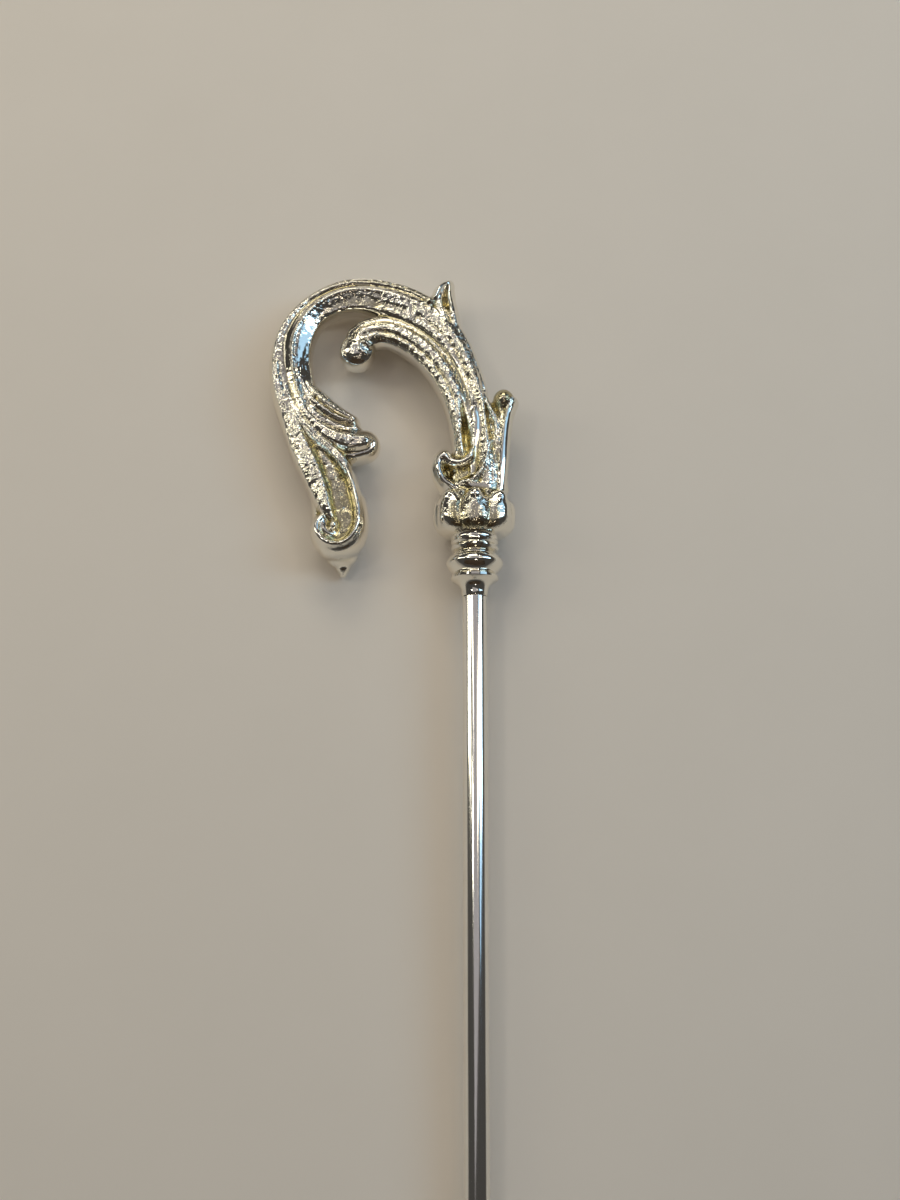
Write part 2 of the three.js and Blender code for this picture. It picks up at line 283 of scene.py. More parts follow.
@dataclass
class CastField:
    """The casting as a field on a grid: negative inside, positive outside.

    Attributes:
        low: The grid's low corner.
        high: The grid's high corner.
        step: The grid's spacing along each axis.
        empty: The field's value where nothing is.
        margin: How far past a strand's face the field is worked out.
        lump_margin: How far past a lump the field is worked out.
        fillet: The fillet between strands.
        arris: The rounding of a strand's edges.
        grain: The noise of its rough faces.
        grain_height: How high that noise is.
        streak_width: How wide the fine lines along a face are.
        streak_length: How long they are.
        rear_flutes: How much of the front's flutes the back has.
        rear_sand: How much of the front's grain the back has.
        face_grade: The field's slope across a face.
        wall_share: The part of the height that a wall's swell covers.
        wall_power: How squarely a wall swells.
        wall_limit: The most that the walls' field grows to.
        smooth_edge: How wide the smooth edge of a rough face is.
    """

    low: tuple[float, float, float]
    high: tuple[float, float, float]
    step: tuple[float, float, float]
    empty: float = 4
    margin: float = 2.2
    lump_margin: float = 1.0
    fillet: float = 0.22
    arris: float = 0.12
    grain: Grain = field(default_factory=Grain)
    grain_height: float = 0.085
    streak_width: float = 0.3
    streak_length: float = 3.2
    rear_flutes: float = 0.3
    rear_sand: float = 0.5
    face_grade: float = 0.85
    wall_share: float = 0.8
    wall_power: float = 2.2
    wall_limit: float = 3
    smooth_edge: float = 0.35

    def __post_init__(self) -> None:
        """Lays out the grid, empty."""
        self.axes = [np.arange(self.low[k], self.high[k], self.step[k], dtype=np.float32)
                     for k in range(3)]
        self.values = np.full([len(a) for a in self.axes], self.empty, np.float32)
        self.rough = np.zeros(self.values.shape[:2], np.float32)
        self.top = np.full(self.rough.shape, -9, np.float32)

    def window(self, low: Sequence[float], high: Sequence[float]) -> tuple[slice, slice]:
        """Returns the grid's slices that cover a box in the drawing plane."""
        cut = []
        for k in (0, 1):
            first = np.searchsorted(self.axes[k], low[k])
            last = np.searchsorted(self.axes[k], high[k])
            cut.append(slice(max(int(first), 0), int(last)))
        return cut[0], cut[1]

    def add_strand(self, strand: Strand) -> None:
        """Joins a strand to the casting."""
        _, centre = strand.stations()
        margin = max(strand.half) + self.margin
        cut = self.window(centre.min(0) - margin, centre.max(0) + margin)
        x, y = np.meshgrid(self.axes[0][cut[0]], self.axes[1][cut[1]], indexing="ij")
        t, across = strand.nearest(x.ravel(), y.ravel())
        t, across = t.reshape(x.shape), across.reshape(x.shape)
        half = smooth(strand.half, t)
        u = np.clip(across / np.maximum(half, 0.05), -1, 1)
        crown = 1 - strand.crown * u * u
        flutes = sum((flute.cut(t, u) for flute in strand.flutes), np.zeros_like(u))
        polished = sum((band.cut(t, u) for band in strand.polish), np.zeros_like(u))
        rough = np.clip(smooth(strand.rough, t) * (1 - np.clip(polished, 0, 1)), 0, 1)
        sand = self.grain_height * self.grain.read(x, y) * rough
        sand = sand + smooth(strand.streaks, t) * self.grain.read(
            across * self.grain.size / self.streak_width,
            t * strand.length() * self.grain.size / self.streak_length)
        front = smooth(strand.front, t)
        back = smooth(strand.back, t)
        face = front * crown - flutes + strand.slope * u + sand
        rear = back * crown - self.rear_flutes * flutes + self.rear_sand * sand
        self.join(cut, np.abs(across) - half, front, back, face, rear, strand.swell)
        self.mark(cut, face, np.abs(across) - half, rough)

    def add_lump(self, at: Sequence[float], radii: Sequence[float], rough: float = 0) -> None:
        """Joins a rounded lump to the casting, with its own radius each way."""
        cut = self.window([at[k] - radii[k] - self.lump_margin for k in (0, 1)],
                          [at[k] + radii[k] + self.lump_margin for k in (0, 1)])
        x = self.axes[0][cut[0]][:, None, None]
        y = self.axes[1][cut[1]][None, :, None]
        z = self.axes[2][None, None, :]
        reach = np.sqrt(sum(((v - at[k]) / radii[k]) ** 2 for k, v in enumerate((x, y, z))))
        lump = (reach - 1) * min(radii)
        self.values[cut] = soft_min(self.values[cut], lump, self.fillet)
        flat = np.sqrt(((x[..., 0] - at[0]) / radii[0]) ** 2 + ((y[..., 0] - at[1]) / radii[1]) ** 2)
        self.rough[cut] = np.where(flat < 1, rough, self.rough[cut])

    def join(self, cut: tuple[slice, slice], beyond: np.ndarray, front: np.ndarray, back: np.ndarray,
             face: np.ndarray, rear: np.ndarray, swell: float) -> None:
        """Joins a bar with a carved face, a rear and swelling side walls.

        Args:
            cut: The grid's window that the arrays cover.
            beyond: The distance past the face's edge, in the plane.
            front: The height that the front wall is drawn to.
            back: The depth that the back wall is drawn to.
            face: The height of the carved face.
            rear: The depth of the back.
            swell: How far the walls stand out at half height.
        """
        z = self.axes[2][None, None, :]
        limit = np.where(z > 0, front[..., None], back[..., None])
        rise = np.abs(z) / np.maximum(self.wall_share * limit, 0.1)
        wall = beyond[..., None] - swell * (1 - rise**self.wall_power)
        shell = soft_max(self.face_grade * (z - face[..., None]),
                         self.face_grade * (-z - rear[..., None]), self.arris)
        solid = soft_max(shell, np.minimum(wall, self.wall_limit), self.arris)
        self.values[cut] = soft_min(self.values[cut], solid, self.fillet)

    def mark(self, cut: tuple[slice, slice], face: np.ndarray, beyond: np.ndarray, rough: np.ndarray) -> None:
        """Notes how rough the upper face is where this strand is the top one."""
        wins = (beyond < 0) & (face > self.top[cut])
        edge = np.clip(-beyond / self.smooth_edge, 0, 1)
        self.rough[cut] = np.where(wins, rough * edge, self.rough[cut])
        self.top[cut] = np.where(wins, face, self.top[cut])

    def mesh(self, name: str) -> bpy.types.Mesh:
        """Skins the field with one point in each crossed cell.

        Args:
            name: The new mesh's name.

        Returns:
            A closed mesh in drawing millimetres, facing outwards.
        """
        values, inside = self.values, self.values < 0
        corners = [inside[i:i - 1 or None, j:j - 1 or None, k:k - 1 or None]
                   for i in (0, 1) for j in (0, 1) for k in (0, 1)]
        count = sum(corner.astype(np.int8) for corner in corners)
        crossed = (count > 0) & (count < 8)
        cells = np.argwhere(crossed)
        number = np.full(crossed.shape, -1, np.int32)
        number[crossed] = np.arange(len(cells))
        points = cells + self.crossing_centres(values, cells)
        points = points * np.asarray(self.step) + np.asarray(self.low)
        faces = np.concatenate([self.crossed_quads(inside, number, axis) for axis in range(3)])
        mesh = bpy.data.meshes.new(name)
        mesh.vertices.add(len(points))
        mesh.vertices.foreach_set("co", points.astype(np.float32).ravel())
        mesh.loops.add(faces.size)
        mesh.loops.foreach_set("vertex_index", faces.ravel().astype(np.int32))
        mesh.polygons.add(len(faces))
        mesh.polygons.foreach_set("loop_start", np.arange(0, faces.size, 4, dtype=np.int32))
        mesh.update(calc_edges=True)
        mesh.validate()
        return mesh

    @staticmethod
    def crossing_centres(values: np.ndarray, cells: np.ndarray) -> np.ndarray:
        """Returns, in each crossed cell, the middle of where its edges cross."""
        total = np.zeros((len(cells), 3))
        hits = np.zeros((len(cells), 1))
        for axis in range(3):
            ahead = np.eye(3, dtype=int)[axis]
            sides = [np.eye(3, dtype=int)[(axis + k) % 3] for k in (1, 2)]
            for offset in (0 * ahead, sides[0], sides[1], sides[0] + sides[1]):
                start = cells + offset
                a = values[tuple(start.T)]
                b = values[tuple((start + ahead).T)]
                hit = ((a < 0) != (b < 0))[:, None]
                part = (a / np.where(a == b, 1, a - b))[:, None]
                total += np.where(hit, offset + part * ahead, 0)
                hits += hit
        return total / hits

    @staticmethod
    def crossed_quads(inside: np.ndarray, number: np.ndarray, axis: int) -> np.ndarray:
        """Returns a quad round each grid edge along an axis that crosses."""
        turn = [axis, (axis + 1) % 3, (axis + 2) % 3]
        flags = inside.transpose(turn)
        ids = number.transpose(turn)
        i, j, k = np.nonzero(flags[:-1, 1:-1, 1:-1] != flags[1:, 1:-1, 1:-1])
        j, k = j + 1, k + 1
        quads = np.stack([ids[i, j - 1, k - 1], ids[i, j, k - 1], ids[i, j, k], ids[i, j - 1, k]], 1)
        leaving = flags[i, j, k]
        return np.where(leaving[:, None], quads, quads[:, ::-1])


# ------------------------------------------------------------------ the head


@dataclass(frozen=True)
class Lump:
    """A rounded lump of the casting: its centre and its radius each way."""

    at: tuple[float, float, float]
    radii: tuple[float, float, float]
    rough: float = 0


@dataclass(frozen=True)
class Disc:
    """A round end of a scroll: its middle, radius, and front and back height."""

    at: Point
    radius: float
    front: float
    back: float
    swell: float = 0.45
    crown: float = 0
    rough: float = 0

    def strand(self) -> Strand:
        """Returns it as a strand with next to no length."""
        x, y = self.at
        return Strand(line=((x, y + 0.05), (x, y - 0.05)), half=(self.radius,) * 2, front=(self.front,) * 2,
                      back=(self.back,) * 2, swell=self.swell, crown=self.crown, rough=(self.rough,) * 2)


@dataclass
class Crook:
    """The crook: its strands, leaves and scrolls, in drawing millimetres."""

    arm: Strand = Strand(
        line=((1.2, 11), (1.1, 17), (0.8, 22.5), (0, 27.5), (-2.4, 33), (-5.8, 36.9), (-10.6, 39.3),
              (-16, 40), (-20.4, 38), (-22.9, 34.2), (-23.4, 29.5), (-22.2, 24.6), (-20, 19),
              (-18.1, 14.3), (-17.1, 8.6)),
        half=(1.5, 1.6, 1.2, 1.15, 1.6, 2.1, 2.15, 1.9, 1.75, 2.1, 2.4, 2.55, 2.4, 2.35, 2.6),
        front=(2.2, 2.5, 2.7, 2.7, 2.6, 2.4, 2.2, 2.2, 2.4, 2.7, 2.9, 2.9, 2.5, 1.8, 1.6),
        back=(2.2, 2.5, 2.5, 2.5, 2.4, 2.2, 2, 2, 2.2, 2.5, 2.7, 2.8, 2.9, 3, 3),
        flutes=(
            # the outer flute: a thin line over the top, wide and deep on the left
            Flute((-0.7, -0.7, -0.7, -0.7, -0.7, -0.62, -0.6, -0.52, -0.5, -0.42, -0.28, -0.18, -0.1, 0, 0),
                  (0.1, 0.1, 0.1, 0.1, 0.12, 0.14, 0.16, 0.18, 0.3, 0.46, 0.5, 0.46, 0.3, 0.2, 0.2),
                  (0, 0, 0, 0, 0.1, 0.25, 0.35, 0.4, 0.4, 0.36, 0.34, 0.36, 0.2, 0, 0)),
            # the smooth inner flute, from the stem to the leaves
            Flute((0.5, 0.5, -0.03, 0.5, 0.4, 0.5, 0.52, 0.58, 0.8, 1, 1.05, 1, 0.8, 0.8, 0.8),
                  (0.5, 0.55, 0.65, 0.6, 0.4, 0.45, 0.6, 0.68, 0.72, 0.75, 0.7, 0.5, 0.4, 0.4, 0.4),
                  (0.2, 0.38, 0.32, 0.3, 0.2, 0.2, 0.28, 0.3, 0.3, 0.36, 0.36, 0.15, 0, 0, 0)),
            # the ridge between them
            Flute((-0.37, -0.37, -0.37, -0.3, -0.25, -0.2, -0.2, -0.15, 0.02, 0.06, 0.17, 0.2, 0.3, 0.3, 0.3),
                  (0.2, 0.2, 0.2, 0.2, 0.2, 0.2, 0.2, 0.2, 0.16, 0.12, 0.1, 0.1, 0.1, 0.1, 0.1),
                  (0, -0.15, -0.2, -0.15, -0.1, -0.12, -0.2, -0.22, -0.25, -0.3, -0.35, -0.3, -0.1, 0, 0)),
            # the groove beside the gold ridge, and the second line over the top
            Flute((*(-0.8,) * 5, -0.86, -0.88, -0.88, *(-0.9,) * 7),
                  (0.25, 0.25, 0.27, 0.2, 0.1, 0.07, 0.07, 0.07, 0.07, 0.1, 0.1, 0.1, 0.1, 0.1, 0.1),
                  (0, 0, 1.1, 0.3, 0.1, 0.15, 0.25, 0.25, 0.1, -0.1, -0.15, -0.15, -0.1, 0, 0)),
        ),
        polish=(
            Flute((-0.5, -0.5, -0.5, -0.42, -0.28, -0.16, -0.1), (0.3, 0.3, 0.3, 0.45, 0.45, 0.4, 0.3),
                  (0, 0, 0.3, 1.2, 1.2, 0.3, 0)),
            Flute((0.8, 0.78, 0.3, 0.85, 0.6, 0.5, 0.45, 0.5, 0.6, 0.65, 0.68, 0.7, 0.6, 0.6, 0.6),
                  (0.4, 0.4, 0.45, 0.4, 0.4, 0.5, 0.5, 0.5, 0.5, 0.55, 0.55, 0.55, 0.5, 0.4, 0.4),
                  (1.2, 1.5, 1.5, 1.1, 0.2, 0.1, 0.1, 0.2, 0.5, 0.9, 1, 0.3, 0, 0, 0)),
        ),
        streaks=(0, 0.02, 0.04, 0.02, 0.01, 0.01, 0.1, 0.06, 0),
        rough=(0.9, 0.8, 1, 1, 0.8, 0.7, 0.9, 0.9, 0.6),
    )
    branch: Strand = Strand(
        line=((-0.8, 11), (-0.9, 16.5), (-1.2, 21), (-2.2, 25.7), (-4.3, 30), (-7.6, 33.4),
              (-11.4, 35.1), (-14.4, 34.2), (-14.9, 32.6)),
        half=(1.3, 1.3, 1.3, 1.5, 1.65, 1.65, 1.6, 1.6, 1.2),
        front=(0.6, 1.5, 2.5, 2.6, 2.5, 2.3, 2.1, 2.1, 1.9),
        back=(2, 2.3, 2.4, 2.4, 2.3, 2.1, 2, 2, 1.9),
        flutes=(
            # the dark hollow at its foot
            Flute((-0.1, -0.1, -0.1, -0.2, 0, 0, 0, 0, 0), (0.5, 0.6, 0.62, 0.4, 0.4, 0.4, 0.4, 0.4, 0.4),
                  (0, 0.1, 1.5, 0.1, 0, 0, 0, 0, 0)),
            # the groove between its two ridges, and the step of its outer band
            Flute((0.4, 0.4, 0.4, 0.35, 0.38, 0.4, 0.3, 0.2, 0.2),
                  (0.2, 0.2, 0.2, 0.22, 0.24, 0.24, 0.3, 0.3, 0.3),
                  (0, 0, 0.1, 0.35, 0.35, 0.3, 0.25, 0.1, 0)),
            Flute((-0.6, -0.6, -0.6, -0.6, -0.6, -0.6, -0.55, -0.5, -0.5), (0.2,) * 9,
                  (0, 0, 0.1, 0.2, 0.25, 0.25, 0.2, 0.1, 0)),
        ),
        polish=(Flute((-0.8, -0.8, -0.8), (0.3, 0.3, 0.3), (0.5, 1.2, 1.2)),),
        crown=0.26,
        streaks=(0, 0.03, 0.02, 0.01),
        rough=(0.5, 0.9, 1, 1, 0.8),
    )
    bud: Strand = Strand(
        line=((2.4, 11), (2.8, 16), (3.1, 20.5), (3.45, 23.4), (3.7, 25)),
        half=(0.9, 0.85, 0.65, 0.5, 0.8),
        front=(1.8, 2.1, 2.1, 1.8, 1.7),
        back=(1.8, 2, 2, 1.8, 1.5),
    )
    bud_rim: Strand = Strand(
        line=((3.3, 13.4), (3.6, 17.5), (3.85, 20.6), (4.2, 23.2), (4.6, 24.6), (4.95, 25.35)),
        half=(0.5, 0.55, 0.52, 0.5, 0.5, 0.46),
        front=(2.1, 2.3, 2.3, 2.2, 2.1, 2),
        back=(1.5, 1.6, 1.6, 1.5, 1.4, 1.3),
        slope=0.26, crown=0.04, swell=0.3,
        rough=(0, 0),
    )
    gold_ridge: Strand = Strand(
        line=((1.2, 26), (1.9, 24.3), (2.6, 22.9), (2.85, 21.2), (2.6, 18.8)),
        half=(0.3, 0.34, 0.36, 0.34, 0.2),
        front=(2.4, 2.4, 2.3, 2.2, 2),
        back=(1, 1.2, 1.2, 1.2, 1),
        swell=0.2,
        rough=(0.9, 0.9),
    )
    thorn: Strand = Strand(
        line=((-2.7, 34.2), (-3.3, 36.6), (-3.75, 38.6), (-3.6, 40.2), (-3.3, 41.5)),
        half=(0.9, 1.15, 1.2, 0.85, 0.42),
        front=(2.3, 2.5, 2.4, 2.1, 1.8),
        back=(2, 2.1, 1.9, 1.5, 1),
        flutes=(Flute((-0.1, -0.1, -0.05, 0, 0), (0.4, 0.5, 0.55, 0.55, 0.5), (0, 0.6, 1.3, 0.9, 0.2)),),
        rough=(1, 0.2, 0),
    )
    thorn_lobe: Strand = Strand(
        line=((-3.25, 41.6), (-3.95, 41.1), (-4.55, 40.2), (-4.95, 39.2)),
        half=(0.3, 0.42, 0.5, 0.45),
        front=(1.8, 2.3, 2.6, 2.6),
        back=(0.9, 1.3, 1.6, 1.7),
        crown=0.3, swell=0.3,
        rough=(0, 0.2),
    )
    upper_leaf: Strand = Strand(
        line=((-22.3, 29.6), (-21.1, 26.7), (-19.3, 24.7), (-17.2, 23.3), (-15.4, 22.55)),
        half=(0.4, 1, 1.15, 0.9, 0.55),
        front=(1.9, 2.8, 3.1, 2.9, 2.7),
        back=(2, 2.3, 2.4, 2.3, 1.9),
        flutes=(
            Flute((0, 0, -0.05, -0.1, -0.1), (0.2, 0.24, 0.3, 0.36, 0.36), (0.1, 0.35, 0.55, 0.65, 0.5)),
            Flute((0.6,) * 5, (0.2,) * 5, (0, 0.2, 0.25, 0.1, 0)),
        ),
        streaks=(0.06, 0.1, 0.05, 0.02),
        rough=(0.5, 1, 0.8, 0),
    )
    leaf_fold: Strand = Strand(
        line=((-21.8, 25.8), (-20, 23.3), (-18.2, 22.1), (-16.4, 21.5), (-14.9, 21.5)),
        half=(0.6, 0.65, 0.6, 0.55, 0.4),
        front=(2.6, 2.9, 2.7, 2.4, 2.1),
        back=(2, 2.3, 2.3, 2.1, 1.8),
        slope=-0.1,
        streaks=(0.1, 0.05),
        rough=(0.8, 0.3),
    )
    middle_leaf: Strand = Strand(
        line=((-23, 27), (-21.6, 23.9), (-19.7, 21.6), (-17.6, 20.1), (-15.6, 19.5), (-14, 19.6)),
        half=(0.6, 0.8, 0.95, 1.2, 1.35, 1.1),
        front=(2.7, 3, 3.1, 3.15, 3.1, 2.95),
        back=(2, 2.5, 2.7, 2.8, 2.8, 2.7),
        flutes=(
            Flute((0.5, 0.5, 0.5, 0.5, 0.5, 0.45), (0.14,) * 6,
                  (0.1, 0.2, 0.18, 0.08, 0, 0)),
            Flute((-1,) * 6, (0.4, 0.45, 0.5, 0.5, 0.48, 0.45),
                  (0, 0.2, 0.4, 0.6, 0.65, 0.6)),
        ),
        polish=(Flute((-1,) * 3, (0.5, 0.6, 0.6), (1.5,) * 3),),
        swell=1.05, crown=0.06, slope=0.22,
        streaks=(0.1, 0.06, 0.03, 0),
        rough=(0.6, 0.8, 0.9, 0.5),
    )
    lower_leaf: Strand = Strand(
        line=((-23.4, 25.6), (-22, 22.6), (-20.1, 20.3), (-18.1, 18.6), (-16.7, 17.1), (-15.9, 15.6)),
        half=(0.5, 0.6, 0.6, 0.6, 0.65, 0.5),
        front=(2.6, 3, 3.1, 3, 3.1, 2.8),
        back=(1.5, 2, 2, 2, 2, 1.8),
        flutes=(Flute((0, 0, 0), (0.3, 0.3, 0.3), (0.2, 0.35, 0.1)),),
        swell=0.2,
        streaks=(0.1, 0.12, 0.04),
        rough=(0.6, 0.8, 0.5),
    )
    tail_bank: Strand = Strand(
        line=((-23.4, 22.6), (-21.9, 18.9), (-20.4, 15.6), (-19.3, 12.9), (-18.6, 11), (-17.9, 9.7)),
        half=(0.9, 1.2, 1.2, 1.05, 0.8, 0.45),
        front=(2.5, 2.9, 3.05, 3, 2.9, 2.7),
        back=(1.5, 2, 2, 2, 2, 1.5),
        slope=0.35, crown=0.05, swell=0.2,
    )
    tail_rim: Strand = Strand(
        line=((-16.3, 16.6), (-15.5, 14.9), (-14.85, 12.8), (-14.4, 10.5), (-14.55, 8.5), (-15.4, 6.9),
              (-16.8, 6.1), (-18.3, 6.3), (-19.4, 7.4), (-19.6, 8.7), (-19, 9.7)),
        half=(0.4, 0.4, 0.4, 0.42, 0.42, 0.42, 0.42, 0.45, 0.5, 0.5, 0.4),
        front=(2.9, 3.1, 3.1, 3.2, 3.2, 3.2, 3.2, 3.2, 3.1, 3, 2.8),
        back=(1.5, 2, 2.4, 2.4, 2.4, 2.4, 2.4, 2.4, 2.4, 2.2, 2),
        crown=0.1,
        rough=(0.2, 0),
    )
    tail_bevel: Strand = Strand(
        line=((-14.2, 12.4), (-13.95, 10.4), (-14.15, 8.2), (-15.15, 6.5), (-16.8, 5.65),
              (-18.5, 5.9), (-19.75, 7.2)),
        half=(0.2, 0.3, 0.4, 0.5, 0.5, 0.4, 0.2),
        front=(2.4, 2.6, 2.65, 2.65, 2.65, 2.6, 2.4),
        back=(1.5, 2, 2.4, 2.4, 2.4, 2.4, 2),
        crown=0, slope=-0.4, swell=0.4,
        rough=(0.1, 0.3, 0.1),
    )
    tail_curl: Strand = Strand(
        line=((-18.9, 9.3), (-18.7, 8.2), (-17.9, 7.5), (-17.2, 7.7)),
        half=(0.6, 0.6, 0.5, 0.3),
        front=(2.5, 2.6, 2.5, 2.2),
        back=(1, 1, 1, 1),
        crown=0.2,
        rough=(0.2, 0.4),
    )
    scroll_web: Strand = Strand(
        line=((-1.6, 13.2), (-2.3, 15.2), (-2, 17.2)),
        half=(1.7, 1.9, 1.3),
        front=(1.2, 0.5, 0.7),
        back=(2, 2, 1.8),
        rough=(0.5, 0),
    )
    scroll_rim: Strand = Strand(
        line=((-1.2, 13.3), (-2.8, 13.8), (-4, 14.8), (-4.55, 16.2), (-4.4, 17.4), (-3.8, 17.9)),
        half=(0.5, 0.55, 0.6, 0.6, 0.65, 0.7),
        front=(2, 2.3, 2.5, 2.6, 2.6, 2.6),
        back=(1.8, 2, 2, 2.1, 2, 1.8),
        crown=0.3, swell=0.35,
        rough=(0.6, 0, 0),
    )
    scroll_lip: Strand = Strand(
        line=((-3.7, 17.6), (-3, 17.1), (-2.1, 16.8), (-1.2, 17), (-0.5, 17.7), (-0.2, 18.8)),
        half=(0.45, 0.5, 0.52, 0.5, 0.45, 0.3),
        front=(2.5, 2.6, 2.7, 2.8, 2.8, 2.6),
        back=(1.2, 1.5, 1.5, 1.5, 1.2, 1),
        crown=0.2, swell=0.2,
        rough=(0, 0.5),
    )
    ball_curl: Strand = Strand(
        line=((-13.3, 32.5), (-13.95, 33), (-14.5, 32.7), (-14.4, 31.9), (-13.7, 31.6)),
        half=(0.22, 0.24, 0.24, 0.24, 0.2),
        front=(2.5, 2.65, 2.65, 2.6, 2.3),
        back=(0.5, 0.5, 0.5, 0.5, 0.5),
        swell=0.1,
        rough=(0, 0),
    )
    foot_ridge: Strand = Strand(
        line=((-1.6, 14.3), (-0.2, 14.6), (0.9, 15.8), (1.5, 17.6), (2, 19.8)),
        half=(0.4, 0.4, 0.36, 0.34, 0.25),
        front=(2.4, 2.8, 2.9, 2.8, 2.5),
        back=(1, 1.2, 1.2, 1.2, 1),
        swell=0.2,
        rough=(0.9, 0.9),
    )
    foot_web: Strand = Strand(
        line=((-3.3, 14.1), (-1.5, 14.05), (0.2, 13.9), (1.9, 13.8), (3.3, 13.9)),
        half=(0.5, 0.8, 0.9, 0.8, 0.6),
        front=(1.6, 2.2, 2.5, 2.3, 1.8),
        back=(1.8, 2.4, 2.6, 2.4, 2),
        crown=0.3,
        rough=(0.8, 0.9),
    )
    stem_web: Strand = Strand(
        line=((0.4, 11), (0.2, 14.5), (0.5, 17.5), (1.3, 21.3), (2.2, 24.6)),
        half=(3.2, 2.9, 2.7, 1.7, 0.5),
        front=(1.9, 1.8, 1.6, 1.5, 1.2),
        back=(1.9, 1.9, 1.8, 1.6, 1.2),
    )
    lumps: tuple[Lump, ...] = (
        Lump((-17.5, 8.55, 2.3), (0.5, 0.65, 0.8)),
        Lump((3.75, 25.55, 0.4), (1.4, 1.5, 2.2), 1),
        Lump((-3.75, 17.7, 0.8), (0.95, 0.95, 1.9)),
        Lump((-5.7, 38.7, 1.9), (0.6, 0.6, 0.8), 1),
        Lump((-16.7, 5.9, -1.6), (2.1, 1.8, 1.9)),
        Lump((-16.5, 4.6, -2.1), (1.0, 1.2, 1.1), 0.25),
        Lump((-16.5, 3.9, -2.4), (0.55, 0.85, 0.7), 0.25),
    )
    discs: tuple[Disc, ...] = (
        Disc((-16.95, 8.4), 2.75, 1.6, 3.4, swell=0.75, rough=0.6),
        Disc((-15, 32.3), 1.85, 2.4, 2.4, crown=0.3, rough=0.6),
    )

    def strands(self) -> list[Strand]:
        """Returns the strands, lowest first."""
        return [self.stem_web, self.arm, self.branch, self.foot_web, self.foot_ridge, self.bud,
                self.bud_rim, self.gold_ridge, self.thorn, self.thorn_lobe, self.upper_leaf,
                self.leaf_fold, self.middle_leaf, self.lower_leaf, self.tail_bank, self.tail_bevel,
                self.tail_rim, self.tail_curl, self.scroll_web, self.scroll_rim, self.scroll_lip,
                self.ball_curl]

    def add_to(self, cast: CastField) -> None:
        """Joins the crook to the casting's field."""
        for strand in [disc.strand() for disc in self.discs] + self.strands():
            cast.add_strand(strand)
        for lump in self.lumps:
            cast.add_lump(lump.at, lump.radii, lump.rough)


